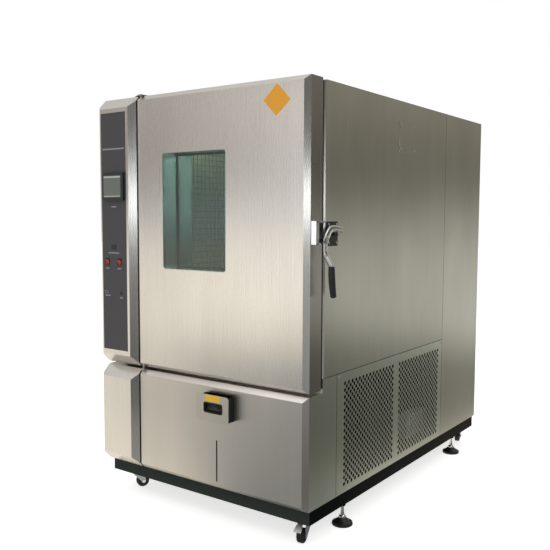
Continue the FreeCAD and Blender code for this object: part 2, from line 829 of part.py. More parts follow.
# Two-line counter, the rockers' housings with their pivot pins, data socket and buzzer
counter_x0 = left + S.counter_left
node("counter_display", box("counter", counter_x0, counter_x0 + S.counter_width,
                            fascia_face - S.counter_proud, fascia_face, S.counter_bottom,
                            S.counter_bottom + S.counter_height))
rocker_housings = []
for side_name, x in rocker_spots.items():
    ring = box("ring_" + side_name, x - rocker_half_x - S.rocker_rim, x + rocker_half_x + S.rocker_rim,
               fascia_face - S.ring_proud, fascia_face, S.rocker_level - rocker_half_z - S.rocker_rim,
               S.rocker_level + rocker_half_z + S.rocker_rim)
    well = box("well_" + side_name, x - housing_half_x, x + housing_half_x, fascia_face,
               fascia_face + S.rocker_depth, S.rocker_level - housing_half_z,
               S.rocker_level + housing_half_z)
    hollow = box("well_hollow_" + side_name, x - rocker_half_x, x + rocker_half_x,
                 fascia_face - S.ring_proud - 1, fascia_face + S.rocker_depth - S.rocker_wall,
                 S.rocker_level - rocker_half_z, S.rocker_level + rocker_half_z)
    pin = rod("rocker_pin_" + side_name, "x", x - rocker_half_x, fascia_face + S.rocker_pivot,
              S.rocker_level, S.rocker_pin, 2 * rocker_half_x)
    housing = cut("housing_" + side_name, fuse("housing_solid_" + side_name, [ring, well]), hollow)
    rocker_housings.append(fuse("housing_pinned_" + side_name, [housing, pin]))
node("rocker_frames", fuse("rocker_housings", rocker_housings))
socket_face = fascia_face - S.socket_flange
socket_flange = box("socket_flange", socket_x - S.socket_width / 2, socket_x + S.socket_width / 2,
                    socket_face, fascia_face, S.socket_level - S.socket_height / 2,
                    S.socket_level + S.socket_height / 2)
socket_body = box("socket_body", socket_x - socket_half_x, socket_x + socket_half_x, fascia_face,
                  fascia_face + S.socket_body, S.socket_level - socket_half_z,
                  S.socket_level + socket_half_z)
socket_slot = box("socket_slot", socket_x - S.socket_mouth / 2, socket_x + S.socket_mouth / 2,
                  socket_face - 1, fascia_face + S.socket_body - S.socket_flange,
                  S.socket_level - S.socket_slot / 2, S.socket_level + S.socket_slot / 2)
node("data_socket", cut("socket", fuse("socket_solid", [socket_flange, socket_body]), socket_slot))
node("alarm_buzzer", rod("buzzer", "y", left + S.buzzer_left, fascia_face - S.buzzer_proud,
                         S.buzzer_level, S.buzzer_radius, S.buzzer_proud))


# Rockers: a shallow V over its pivot pin, tilted at rest
for side_name, x in rocker_spots.items():
    half_z = S.rocker_height / 2
    back_z = half_z * 0.85
    outline = [(S.rocker_dish, -back_z), (S.rocker_dish, back_z), (-S.rocker_proud, half_z * 0.96),
               (S.rocker_dish - S.rocker_proud, 0), (-S.rocker_proud, -half_z * 0.96)]
    rocker = doc.addObject("PartDesign::Body", "rocker_body_" + side_name)
    sketch = new_sketch(rocker, "YZ_Plane", "rocker_outline_" + side_name)
    draw_polygon(sketch, outline)
    draw_circle(sketch, 0, 0, S.rocker_pin + S.pin_play)
    pad = rocker.newObject("PartDesign::Pad", "rocker_pad_" + side_name)
    pad.Profile = sketch
    bind(pad, "Length", S.rocker_width)
    rocker.Tip = pad
    put(rocker, x - S.rocker_width / 2, fascia_face + S.rocker_pivot, S.rocker_level,
        FreeCAD.Rotation(Vector(1, 0, 0), S.rocker_tilt.number))
    bind(rocker, "Placement.Rotation.Angle", S.rocker_tilt)
    node("rocker_" + side_name, rocker)


# Lower front: a bevelled pan with openings for the drawer and the sight slot
drawer_x1 = right - S.drawer_right
drawer_x0 = drawer_x1 - S.drawer_width
drawer_z1 = S.drawer_bottom + S.drawer_height
tray_x0 = drawer_x0 + S.drawer_margin + S.drawer_lip
tray_x1 = drawer_x1 - S.drawer_margin
tray_z0 = S.drawer_bottom + S.drawer_margin
tray_z1 = drawer_z1 - S.drawer_margin
lower_outer = bevelled("lower_outer", door_left, right, front, front + S.door_bevel, S.base_top,
                       S.lower_top, as_size(0), S.door_bevel, S.door_bevel, S.door_bevel)
lower_hollow = bevelled("lower_hollow", door_left + gauge, right - gauge, front + gauge,
                        front + S.door_bevel + gauge, S.base_top + gauge, S.lower_top - gauge,
                        as_size(0), S.door_bevel, S.door_bevel, S.door_bevel)
drawer_opening = rounded_block("drawer_opening", tray_x0 - S.drawer_play, tray_x1 + S.drawer_play,
                               front - 1, front + 2 * gauge, tray_z0 - S.drawer_play,
                               tray_z1 + S.drawer_play, S.drawer_margin)
sight_x1 = right - S.sight_right
sight_x0 = sight_x1 - S.sight_width
sight_opening = box("sight_opening", sight_x0, sight_x1, front - 1, front + 2 * gauge,
                    S.sight_bottom, S.sight_bottom + S.sight_height)
lower_shell = cut("lower_shell", lower_outer, lower_hollow)
node("lower_front_panel", cut("lower_open", lower_shell,
                              fuse("lower_openings", [drawer_opening, sight_opening])))
node("sight_glass", box("sight_strip", sight_x0 - S.sight_lap, sight_x1 + S.sight_lap, front + gauge,
                        front + gauge + S.sight_lap, S.sight_bottom - S.sight_lap,
                        S.sight_bottom + S.sight_height + S.sight_lap))

# Water drawer: an open tray behind a front plate with a sunk pull, drawn out a little at rest
drawer_face = front - S.drawer_out
plate_back = drawer_face + S.drawer_plate
pull_x1 = drawer_x1 - S.pull_right
pull_x0 = pull_x1 - S.pull_width
pull_z0 = S.drawer_bottom + S.pull_bottom
pull_z1 = pull_z0 + S.pull_height
tray_back = drawer_face + S.drawer_length
tray_block = box("tray_block", tray_x0, tray_x1, plate_back, tray_back, tray_z0, tray_z1)
tray_hollow = box("tray_hollow", tray_x0 + S.drawer_wall, tray_x1 - S.drawer_wall,
                  plate_back + S.drawer_wall, tray_back - S.drawer_wall, tray_z0 + S.drawer_wall,
                  tray_z1 + 1)
pull_hole = rounded_block("pull_hole", pull_x0, pull_x1, drawer_face - 1,
                          plate_back + S.drawer_wall + 1, pull_z0, pull_z1, S.pull_radius)
node("drawer_tray", cut("tray_open", cut("tray_shell", tray_block, tray_hollow), pull_hole))
front_block = rounded_block("front_block", drawer_x0, drawer_x1, drawer_face, plate_back,
                            S.drawer_bottom, drawer_z1, S.drawer_radius)
pull_hole_front = rounded_block("pull_hole_front", pull_x0, pull_x1, drawer_face - 1, plate_back + 1,
                                pull_z0, pull_z1, S.pull_radius)
node("drawer_front", cut("drawer_front_open", front_block, pull_hole_front))
pull_block = rounded_block("pull_block", pull_x0, pull_x1, drawer_face - S.pull_proud,
                           drawer_face + S.pull_depth, pull_z0, pull_z1, S.pull_radius)
pull_hollow = rounded_block("pull_hollow", pull_x0 + S.pull_rim, pull_x1 - S.pull_rim, drawer_face - 3,
                            drawer_face + S.pull_depth - S.pull_rim, pull_z0 + S.pull_rim,
                            pull_z1 - S.pull_rim, S.pull_radius - S.pull_rim)
node("drawer_pull", cut("pull", pull_block, pull_hollow))


# Door: a bevelled skin, its core, the back plate, the window throat and a sealed glass unit
window_x1 = right - S.window_right
window_x0 = window_x1 - S.window_width
window_z1 = S.window_bottom + S.window_height
core_front = front + gauge
core_back = door_back - gauge


def window_block(name, inset, y0, y1):
    return rounded_block(name, window_x0 + inset, window_x1 - inset, y0, y1,
                         S.window_bottom + inset, window_z1 - inset, S.window_radius - inset)


def window_cutter(name):
    return window_block(name, as_size(0), front - 1, door_back + 1)


def pivot_hole(name, z0, z1):
    return rod(name, "z", hinge_x, hinge_y, z0, S.hinge_pin_radius + S.pin_play, z1 - z0)


door_outer = bevelled("door_outer", door_left, right, front, door_back, S.door_bottom, S.top_level,
                      as_size(0), S.door_bevel, S.door_bevel, S.door_bevel)
door_hollow = bevelled("door_hollow", door_left + gauge, right - gauge, core_front, door_back + gauge,
                       S.door_bottom + gauge, S.top_level - gauge, as_size(0), S.door_bevel,
                       S.door_bevel, S.door_bevel)
door_tools = fuse("door_tools", [
    window_cutter("skin_window"),
    pivot_hole("skin_pivot_low", S.door_bottom - 1, S.door_bottom + S.hinge_pin_reach),
    pivot_hole("skin_pivot_high", S.top_level - S.hinge_pin_reach, S.top_level + 1),
])
node("door_shell", cut("door_skin", cut("door_skin_solid", door_outer, door_hollow), door_tools))
core_solid = bevelled("core_solid", door_left + gauge, right - gauge, core_front, core_back,
                      S.door_bottom + gauge, S.top_level - gauge, as_size(0), S.door_bevel,
                      S.door_bevel, S.door_bevel)
core_tools = fuse("core_tools", [
    window_cutter("core_window"),
    pivot_hole("core_pivot_low", S.door_bottom, S.door_bottom + S.hinge_pin_reach),
    pivot_hole("core_pivot_high", S.top_level - S.hinge_pin_reach, S.top_level),
])
node("door_core", cut("core", core_solid, core_tools))
node("door_liner", cut("door_back_plate", box("door_back_sheet", door_left + gauge, right - gauge,
                                              core_back, door_back, S.door_bottom + gauge,
                                              S.top_level - gauge), window_cutter("back_window")))
throat = window_block("throat", as_size(0), front + 0.5, door_back)
throat_hollow = window_block("throat_hollow", S.window_frame_gauge, front - 1, door_back + 1)
node("window_frame", cut("window_throat", throat, throat_hollow))
pane_front = front + S.pane_recess
pane_back = core_back
unit_block = window_block("unit_block", S.window_frame_gauge, pane_front, pane_back)
unit_hollow = box("unit_hollow", window_x0 + 3 * S.window_frame_gauge, window_x1 - 3 * S.window_frame_gauge,
                  pane_front + S.pane_gauge, pane_back - S.pane_gauge,
                  S.window_bottom + 3 * S.window_frame_gauge, window_z1 - 3 * S.window_frame_gauge)
node("window_glass", cut("glass_unit", unit_block, unit_hollow))

# Door seal: a rubber ring that stops just short of the frame
seal_x0 = door_left + S.seal_inset
seal_x1 = right - S.seal_inset
seal_z0 = S.door_bottom + gauge + S.seal_inset
seal_z1 = S.roof_level - gauge - S.seal_inset
seal_y1 = frame_front - S.seal_play
seal_block = box("seal_block", seal_x0, seal_x1, door_back, seal_y1, seal_z0, seal_z1)
seal_hollow = box("seal_hollow", seal_x0 + S.seal_width, seal_x1 - S.seal_width, door_back, seal_y1,
                  seal_z0 + S.seal_width, seal_z1 - S.seal_width)
node("door_gasket", cut("seal", seal_block, seal_hollow))


# Pivot hinges: one plate over the door and one under it, each with a pin into the door
def hinge_bracket(name, plate_z, pin_z, rear_x0, rear_y0, rear_y1):
    arm = S.hinge_inset
    outline = [
        (rear_x0, rear_y0), (hinge_x - arm, hinge_y - arm / 2), (hinge_x - arm / 2, hinge_y - arm),
        (hinge_x + arm / 2, hinge_y - arm), (hinge_x + arm, hinge_y - arm / 2),
        (hinge_x + arm, rear_y1), (rear_x0, rear_y1),
    ]
    plate = prism(name + "_plate", "XY", [outline], plate_z, S.hinge_plate)
    pin = rod(name + "_pin", "z", hinge_x, hinge_y, pin_z, S.hinge_pin_radius,
              S.hinge_pin_reach - S.hinge_play)
    return fuse(name, [plate, pin])


hinge_x0 = column_right - S.hinge_landing
hinge_y0 = front + S.hinge_front
hinge_y1 = hinge_y0 + S.hinge_strip
top_plate_z = S.top_level + S.hinge_play
low_plate_z = S.lower_top + S.hinge_play
top_bracket = hinge_bracket("hinge_top", top_plate_z, top_plate_z - S.hinge_pin_reach + 2 * S.hinge_play,
                            hinge_x0, hinge_y0, hinge_y1)
top_riser = box("hinge_top_riser", hinge_x0, column_right - gauge, hinge_y0, hinge_y1,
                S.top_level, top_plate_z)
node("hinge_bracket_top", fuse("hinge_top_set", [top_bracket, top_riser]))
low_bracket = hinge_bracket("hinge_low", low_plate_z, low_plate_z, door_left + gauge,
                            hinge_y0, frame_front)
low_riser = box("hinge_low_riser", door_left + gauge, hinge_x + S.hinge_inset,
                frame_front - S.hinge_strip, frame_front, S.lower_top, low_plate_z)
node("hinge_bracket_bottom", fuse("hinge_low_set", [low_bracket, low_riser]))


# Latch: a chromed housing on the door's side with the lever's pivot, open to the back
latch_y0 = front + S.latch_front
latch_y1 = latch_y0 + S.latch_depth
latch_z1 = S.latch_bottom + S.latch_height
pivot_y = front + S.pivot_back
housing_block = box("housing_block", right, right + S.latch_reach, latch_y0, latch_y1,
                    S.latch_bottom, latch_z1)
housing_hollow = box("housing_hollow", right + S.latch_wall / 2, right + S.latch_reach + 1,
                     latch_y0 + 3 * S.latch_wall, latch_y1 + 1, S.latch_bottom + S.latch_wall,
                     latch_z1 - S.latch_wall)
pivot_pin = rod("pivot_pin", "x", right + S.latch_wall / 4, pivot_y, S.pivot_level,
                S.pivot_radius, lever_inner + S.lever_gauge + 1 - S.latch_wall / 4)
pivot_head = rod("pivot_head", "x", right + lever_inner + S.lever_gauge + 0.5, pivot_y, S.pivot_level,
                 S.pivot_radius * 1.5, S.pivot_cap)
node("latch_housing", fuse("housing", [cut("housing_shell", housing_block, housing_hollow),
                                       pivot_pin, pivot_head]))

# Lever: hub, hooked arm to the back, stem, outward jog and the grip's core, turning on the pin
lever_x0 = right + lever_inner
arm_outline = [
    (pivot_y - S.hub_radius * 0.6, S.pivot_level + S.hub_radius * 0.7),
    (pivot_y + S.arm_reach * 0.22, S.pivot_level + S.arm_rise * 0.95),
    (pivot_y + S.arm_reach * 0.45, S.pivot_level + S.arm_rise * 1.15),
    (pivot_y + S.arm_reach * 0.86, S.pivot_level + S.arm_rise * 1.2),
    (pivot_y + S.arm_reach, S.pivot_level + S.arm_rise * 1.05),
    (pivot_y + S.arm_reach, S.pivot_level + S.arm_rise * 0.75),
    (pivot_y + S.arm_reach * 0.75, S.pivot_level + S.arm_rise * 0.72),
    (pivot_y + S.arm_reach * 0.5, S.pivot_level + S.arm_rise * 0.45),
    (pivot_y + S.hub_radius * 0.9, S.pivot_level - S.hub_radius * 0.3),
]
arm = prism("lever_arm", "YZ", [arm_outline], lever_x0, S.lever_gauge)
hub = rod("lever_hub", "x", lever_x0, pivot_y, S.pivot_level, S.hub_radius, S.lever_gauge)
stem_z0 = S.pivot_level - S.stem_length
stem = box("lever_stem", lever_x0, lever_x0 + S.lever_gauge, pivot_y - S.stem_width / 2,
           pivot_y + S.stem_width / 2, stem_z0, S.pivot_level)
jog_outline = [
    (lever_x0, stem_z0 + S.handle_blend), (lever_x0, stem_z0),
    (lever_x0 + S.handle_jog, stem_z0 - S.handle_drop),
    (lever_x0 + S.handle_jog + S.lever_gauge, stem_z0 - S.handle_drop),
    (lever_x0 + S.handle_jog + S.lever_gauge, stem_z0 - S.handle_drop + S.handle_blend),
    (lever_x0 + S.lever_gauge, stem_z0 + S.handle_blend),
]
jog = prism("lever_jog", "XZ", [jog_outline], pivot_y - S.stem_width / 2,
            S.stem_width + S.handle_blend)
pin_hole = rod("lever_hole", "x", lever_x0 - 1, pivot_y, S.pivot_level, S.pivot_radius + S.pin_play,
               S.lever_gauge + 2)
node("latch_lever", cut("lever", fuse("lever_solid", [arm, hub, stem, jog]), pin_hole))

# Grip: a twelve-sided bar swept down and slightly back
grip_x = right + grip_centre
grip_y = pivot_y + S.handle_blend / 2
grip_z = stem_z0 - S.handle_drop
grip = doc.addObject("PartDesign::Body", "grip")
grip_path = new_sketch(grip, "YZ_Plane", "grip_path")
path_points = [(as_size(0), as_size(0)), (S.grip_back * 0.2, -S.grip_length * 0.5),
               (S.grip_back, -S.grip_length)]
for start, stop in zip(path_points, path_points[1:]):
    grip_path.addGeometry(Part.LineSegment(Vector(start[0].number, start[1].number, 0),
                                           Vector(stop[0].number, stop[1].number, 0)), False)
grip_path.addConstraint(Sketcher.Constraint("Coincident", 0, 2, 1, 1))
pin_point(grip_path, 0, 1, *path_points[0])
pin_point(grip_path, 0, 2, *path_points[1])
pin_point(grip_path, 1, 2, *path_points[2])
grip_section = new_sketch(grip, "XY_Plane", "grip_section")
draw_polygon(grip_section, ring_of(DODECAGON, as_size(0), as_size(0), S.grip_radius))
grip_pipe = grip.newObject("PartDesign::AdditivePipe", "grip_pipe")
grip_pipe.Profile = grip_section
grip_pipe.Spine = grip_path
grip_pipe.Transition = 1
grip.Tip = grip_pipe
put(grip, grip_x, grip_y, grip_z)
node("latch_grip", grip)

# Strike on the cabinet's side: a plate, a cheek and the fixed roller that the arm closes over
strike_y0 = front + S.strike_front
roller_y = front + S.roller_back
strike_plate = box("strike_plate", right, right + S.strike_gauge, strike_y0, strike_y0 + S.strike_width,
                   S.strike_bottom, S.strike_bottom + S.strike_height)
cheek_x1 = right + lever_inner - 2 * S.lever_clear
strike_cheek = prism("strike_cheek", "XY", [[
    (right + S.strike_gauge, roller_y - 2 * S.cheek_half), (cheek_x1, roller_y - S.cheek_half),
    (cheek_x1, roller_y + S.cheek_half), (right + S.strike_gauge, roller_y + 2 * S.cheek_half),
]], S.roller_level - S.roller_radius, 2 * S.roller_radius)
strike_roller = rod("strike_roller", "x", right + S.strike_gauge, roller_y, S.roller_level,
                    S.roller_radius, lever_inner + S.lever_gauge - S.strike_gauge)
node("latch_strike", fuse("strike", [strike_plate, strike_cheek, strike_roller]))


# Casters: a fork that swivels under its plate, a wheel on an axle and a brake pedal in front
def swivelled(piece, x, y, angle):
    put(piece, x, y, 0, FreeCAD.Rotation(Vector(0, 0, 1), angle.number))
    bind(piece, "Placement.Rotation.Angle", angle)
    return piece


def caster(corner, x, y, angle, braked):
    spin = FreeCAD.Rotation(Vector(0, 0, 1), angle.number)
    half_fork = S.fork_width / 2
    low = S.wheel_radius - S.axle_boss
    crown_bottom = S.fork_top - S.crown_gauge
    cheeks = []
    for side_name, cheek_y in (("a", -half_fork), ("b", half_fork - S.fork_gauge)):
        outline = [
            (S.caster_trail - S.axle_boss, low), (S.caster_trail + S.axle_boss, low),
            (S.caster_trail + S.axle_boss / 2, crown_bottom - S.crown_gauge),
            (S.crown_half, S.fork_top), (-S.crown_half, S.fork_top),
            (-S.crown_half, crown_bottom - S.axle_boss),
        ]
        cheeks.append(prism("cheek_%s_%s" % (side_name, corner), "XZ", [outline], cheek_y,
                            S.fork_gauge))
    crown = box("crown_" + corner, -S.crown_half, S.crown_half, -half_fork, half_fork, crown_bottom,
                S.fork_top)
    pins = [rod("axle_" + corner, "y", S.caster_trail, -half_fork - S.axle_end, S.wheel_radius,
                S.axle_radius, S.fork_width + 2 * S.axle_end)]
    if braked:
        pins.append(rod("pedal_pin_" + corner, "y", S.brake_pivot, -half_fork, S.brake_level,
                        S.brake_pin, S.fork_width))
    fork = fuse("fork_" + corner, cheeks + [crown] + pins)
    node("caster_fork_" + corner, swivelled(fork, x, y, angle))
    bore = S.axle_radius + S.pin_play
    half_hub = S.hub_width / 2
    half_wheel = S.wheel_width / 2
    outline = [
        (bore, -half_hub), (S.wheel_radius * 0.4, -half_hub), (S.wheel_radius * 0.85, -half_wheel),
        (S.wheel_radius, -half_wheel * 0.8), (S.wheel_radius, half_wheel * 0.8),
        (S.wheel_radius * 0.85, half_wheel), (S.wheel_radius * 0.4, half_hub), (bore, half_hub),
    ]
    aim = spin.multVec(Vector(1, 0, 0))
    wheel_x = x + S.caster_trail * aim.x
    wheel_y = y + S.caster_trail * aim.y
    wheel = turned("wheel_" + corner, outline, wheel_x, wheel_y, S.wheel_radius,
                   spin.multiply(FreeCAD.Rotation(Vector(1, 0, 0), 90)))
    node("caster_wheel_" + corner, wheel)
    if braked:
        knee = S.caster_trail + S.wheel_radius - S.brake_hub
        tip = S.caster_trail + S.wheel_radius + S.brake_length
        tip_z = S.brake_level - S.brake_drop
        half = S.brake_gauge / 2
        arm = prism("pedal_arm_" + corner, "XZ", [[
            (S.brake_pivot, S.brake_level + half), (knee, S.brake_level + half), (tip, tip_z + half),
            (tip, tip_z - half), (knee, S.brake_level - half), (S.brake_pivot, S.brake_level - half),
        ]], -half_fork / 2, half_fork)
        hub = rod("pedal_hub_" + corner, "y", S.brake_pivot, -half_fork / 2, S.brake_level,
                  S.brake_hub, half_fork)
        tread = box("pedal_tread_" + corner, tip - S.brake_gauge, tip + S.brake_gauge, -half_fork,
                    half_fork, tip_z - S.brake_gauge, tip_z + half)
        bore_tool = rod("pedal_bore_" + corner, "y", S.brake_pivot, -half_fork, S.brake_level,
                        S.brake_pin + S.pin_play, S.fork_width)
        pedal = cut("pedal_" + corner, fuse("pedal_solid_" + corner, [arm, hub, tread]), bore_tool)
        node("brake_pedal_" + corner, swivelled(pedal, x, y, angle))


for corner, (x, y, angle) in caster_spots.items():
    caster(corner, x, y, angle, corner.startswith("front"))

# Levelling feet: a bell-shaped pad, a cone and a threaded stem
for corner, (x, y) in foot_spots.items():
    foot = turned("foot_" + corner, [
        (0, 0), (S.foot_radius * 0.94, 0), (S.foot_radius, S.foot_skirt),
        (S.stem_radius * 2, S.foot_height), (S.stem_radius, S.foot_height + S.foot_cone),
        (S.stem_radius, S.stem_top), (0, S.stem_top),
    ], x, y, 0)
    node("levelling_foot_" + corner, foot)

# Machine bay: a hermetic compressor, and a pale junction box behind the punched field
compressor_x = right - S.compressor_side
compressor_y = front + S.compressor_back
shell_radius = S.compressor_radius
node("compressor", turned("compressor_shell", [
    (0, 0), (shell_radius, 0), (shell_radius, S.compressor_height * 0.7),
    (shell_radius * 0.55, S.compressor_height), (0, S.compressor_height),
], compressor_x, compressor_y, S.base_top))
junction_x1 = right - S.junction_side
junction_y0 = front + S.junction_front
node("junction_box", box("junction", junction_x1 - S.junction_depth, junction_x1, junction_y0,
                         junction_y0 + S.junction_width, S.base_top, S.base_top + S.junction_height))

doc.recompute()


# Every object must be sound before anything is written
faults = []
for item in doc.Objects:
    if any(word in ("Invalid", "Error") for word in item.State):
        faults.append("%s: %s" % (item.Label, item.State))
for piece in nodes:
    if piece.Shape.isNull() or not piece.Shape.isValid():
        faults.append("%s: bad shape" % piece.Label)
if faults:
    raise RuntimeError("; ".join(faults))

os.makedirs("parts", exist_ok=True)
for piece in nodes:
    piece.Shape.exportStep("parts/%s.step" % piece.Label)
print("%d pieces" % len(nodes))
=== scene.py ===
"""Looks of a large climatic test chamber: brushed stainless cabinet, window door, control column,
punched service panel, lever latch, water drawer, casters and levelling feet. Metres throughout.
"""

import json
import math

import bmesh
import bpy
import numpy as np
from mathutils import Matrix, Vector


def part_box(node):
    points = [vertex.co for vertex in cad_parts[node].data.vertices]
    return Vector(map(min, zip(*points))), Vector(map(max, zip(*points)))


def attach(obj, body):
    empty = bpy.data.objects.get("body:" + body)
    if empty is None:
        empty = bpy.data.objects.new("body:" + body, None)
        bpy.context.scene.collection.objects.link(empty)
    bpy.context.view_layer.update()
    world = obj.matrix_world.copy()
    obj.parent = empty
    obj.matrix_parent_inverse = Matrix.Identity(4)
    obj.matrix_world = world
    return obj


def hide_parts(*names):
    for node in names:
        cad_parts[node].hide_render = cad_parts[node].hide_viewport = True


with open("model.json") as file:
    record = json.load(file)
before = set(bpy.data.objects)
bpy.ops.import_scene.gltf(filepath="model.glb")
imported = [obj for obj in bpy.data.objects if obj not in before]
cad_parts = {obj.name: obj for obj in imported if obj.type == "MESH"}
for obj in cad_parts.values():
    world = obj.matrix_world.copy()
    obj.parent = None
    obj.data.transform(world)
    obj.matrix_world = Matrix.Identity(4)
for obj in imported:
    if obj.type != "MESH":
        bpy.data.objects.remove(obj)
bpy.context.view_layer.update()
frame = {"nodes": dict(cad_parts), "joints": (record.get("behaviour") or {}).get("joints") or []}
nodes = frame["nodes"]
joints = {joint["name"]: joint for joint in frame["joints"]}


# Camera: a short telephoto at chest height off the right front corner, aimed slightly down.
# The door's front right edge gives its place.
door_low, door_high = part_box("door_shell")
right = door_high.x
front = door_low.y
camera_place = Vector((right + 1.598, front - 2.427, 1.389))
camera_yaw = math.radians(35.91)
camera_pitch = math.radians(-4.58)
camera_roll = math.radians(0.195)

camera_data = bpy.data.cameras.new("photo_camera")
camera_data.sensor_width = 36.0
camera_data.lens = 47.69
camera = bpy.data.objects.new("photo_camera", camera_data)
camera.matrix_world = (
    Matrix.Translation(camera_place)
    @ Matrix.Rotation(camera_yaw, 4, "Z")
    @ Matrix.Rotation(math.pi / 2 + camera_pitch, 4, "X")
    @ Matrix.Rotation(camera_roll, 4, "Z")
)
bpy.context.scene.collection.objects.link(camera)
bpy.context.scene.camera = camera
bpy.context.scene.view_settings.view_transform = "Standard"


# Studio: a workshop that is pale to the front left and dim behind, a long window strip behind the
# camera, two soft lamps and a white floor that shows metal a painted reflection, darker close to
# the cabinet.
def wire(tree, source, target):
    """Links a socket to an input, or sets the input where the source is a value or a colour."""
    if isinstance(source, bpy.types.NodeSocket):
        tree.links.new(source, target)
    else:
        target.default_value = (*source, 1.0) if target.type == "RGBA" else source


def make_node(tree, kind, **settings):
    """Adds a shader node; names that it lacks as attributes are taken as its inputs."""
    made = tree.nodes.new(kind)
    for key, value in settings.items():
        if hasattr(made, key):
            setattr(made, key, value)
        else:
            made.inputs[key.replace("_", " ").title()].default_value = value
    return made


def ramped(tree, source, stops):
    """Colour along a line: each stop is a place from 0 to 1 and a grey or a colour."""
    ramp = tree.nodes.new("ShaderNodeValToRGB")
    elements = ramp.color_ramp.elements
    while len(elements) < len(stops):
        elements.new(0.5)
    for element, (place, colour) in zip(elements, stops):
        element.position = place
        shade = colour if isinstance(colour, tuple) else (colour, colour, colour)
        element.color = (*shade, 1.0)
    wire(tree, source, ramp.inputs["Fac"])
    return ramp.outputs["Color"]


def ranged(tree, source, low, high, to_low=0.0, to_high=1.0, curve="LINEAR"):
    """A value carried from one range to another and kept within it."""
    band = make_node(tree, "ShaderNodeMapRange", interpolation_type=curve, From_Min=low,
                     From_Max=high, To_Min=to_low, To_Max=to_high)
    wire(tree, source, band.inputs["Value"])
    return band.outputs["Result"]


def reckoned(tree, operation, *values):
    """One step of arithmetic on sockets and numbers."""
    step = make_node(tree, "ShaderNodeMath", operation=operation)
    for value, target in zip(values, step.inputs):
        wire(tree, value, target)
    return step.outputs["Value"]


def mixed(tree, share, first, second, blend="MIX"):
    """Two colours, mixed or multiplied by a share."""
    mix = make_node(tree, "ShaderNodeMix", data_type="RGBA", blend_type=blend)
    for source, place in ((share, 0), (first, 6), (second, 7)):
        wire(tree, source, mix.inputs[place])
    return mix.outputs[2]


def axes(tree, source):
    """The X, Y and Z of a place or a direction."""
    split = tree.nodes.new("ShaderNodeSeparateXYZ")
    wire(tree, source, split.inputs["Vector"])
    return split.outputs


def plain_shader(tree, kind, colour):
    """A shader of one colour."""
    made = tree.nodes.new(kind)
    wire(tree, colour, made.inputs["Color"])
    return made.outputs[0]


def choose(tree, share, first, second, output):
    """Two shaders, mixed by a share and handed to the tree's output."""
    choice = tree.nodes.new("ShaderNodeMixShader")
    for source, target in zip((share, first, second), choice.inputs):
        wire(tree, source, target)
    wire(tree, choice.outputs["Shader"], output.inputs["Surface"])


world = bpy.data.worlds.new("studio_room")
bpy.context.scene.world = world
world.use_nodes = True
room = world.node_tree
room.nodes.clear()
direction = axes(room, room.nodes.new("ShaderNodeTexCoord").outputs["Generated"])
bearing = reckoned(room, "ARCTAN2", direction["Y"], direction["X"])
walls = ramped(room, ranged(room, bearing, -math.pi, math.pi), [
    # share of a turn from the left, by way of the front, the right and the rear
    (0.0, (0.45, 0.44, 0.42)), (0.115, (0.72, 0.71, 0.7)), (0.14, (0.82, 0.81, 0.8)),
    (0.165, (1.0, 0.99, 0.98)), (0.22, (0.8, 0.79, 0.78)), (0.3, (0.42, 0.42, 0.42)),
    (0.36, (0.2, 0.205, 0.21)), (0.41, (0.19, 0.2, 0.21)), (0.5, (0.08, 0.08, 0.075)),
    (0.62, (0.3, 0.29, 0.25)), (0.665, (0.3, 0.295, 0.26)), (0.7, (0.9, 0.88, 0.78)),
    (0.78, (0.4, 0.39, 0.35)), (1.0, (0.45, 0.44, 0.42)),
])
bands = ramped(room, ranged(room, direction["Z"], -0.05, 0.45), [
    (0.0, 1.0), (0.1, 0.84), (0.17, (0.34, 0.32, 0.30)), (0.25, (0.34, 0.32, 0.30)),
    (0.42, (0.66, 0.62, 0.58)), (1.0, (0.8, 0.76, 0.72)),
])
lit_room = mixed(room, ranged(room, direction["Z"], 0.3, 0.8),
                 mixed(room, 1.0, walls, bands, "MULTIPLY"), (0.74, 0.73, 0.71))
ray = room.nodes.new("ShaderNodeLightPath").outputs
choose(room, reckoned(room, "MAXIMUM", ray["Is Camera Ray"], ray["Is Transmission Ray"]),
       plain_shader(room, "ShaderNodeBackground", lit_room),
       plain_shader(room, "ShaderNodeBackground", (1.0, 1.0, 1.0)),
       room.nodes.new("ShaderNodeOutputWorld"))


def area_lamp(name, place, target, width, height, power, colour=(1.0, 1.0, 1.0)):
    """A rectangular soft lamp that faces a point, level with the horizon along its width."""
    lamp_data = bpy.data.lights.new(name, "AREA")
    lamp_data.shape = "RECTANGLE"
    lamp_data.size = width
    lamp_data.size_y = height
    lamp_data.energy = power
    lamp_data.color = colour
    lamp = bpy.data.objects.new(name, lamp_data)
    lamp.location = place
    lamp.rotation_euler = (Vector(target) - Vector(place)).to_track_quat("-Z", "Y").to_euler()
    lamp.visible_camera = False
    bpy.context.scene.collection.objects.link(lamp)


cabinet_middle = (0.0, 0.0, 1.0)
area_lamp("window_strip", (right + 4.1, front - 4.1, 1.60), (right, front, 1.45), 3.6, 0.34, 21.0,
          (0.93, 0.97, 1.0))
area_lamp("doorway_glow", (right - 3.05, front - 4.9, 1.6), (right - 0.1, front, 1.2), 0.7, 2.8,
          6.5, (0.97, 0.99, 1.0))
area_lamp("front_softbox", (-1.2, front - 2.4, 4.6), cabinet_middle, 2.4, 2.4, 26.0)
area_lamp("side_softbox", (right + 3.2, -0.6, 4.4), cabinet_middle, 2.2, 2.2, 24.0)

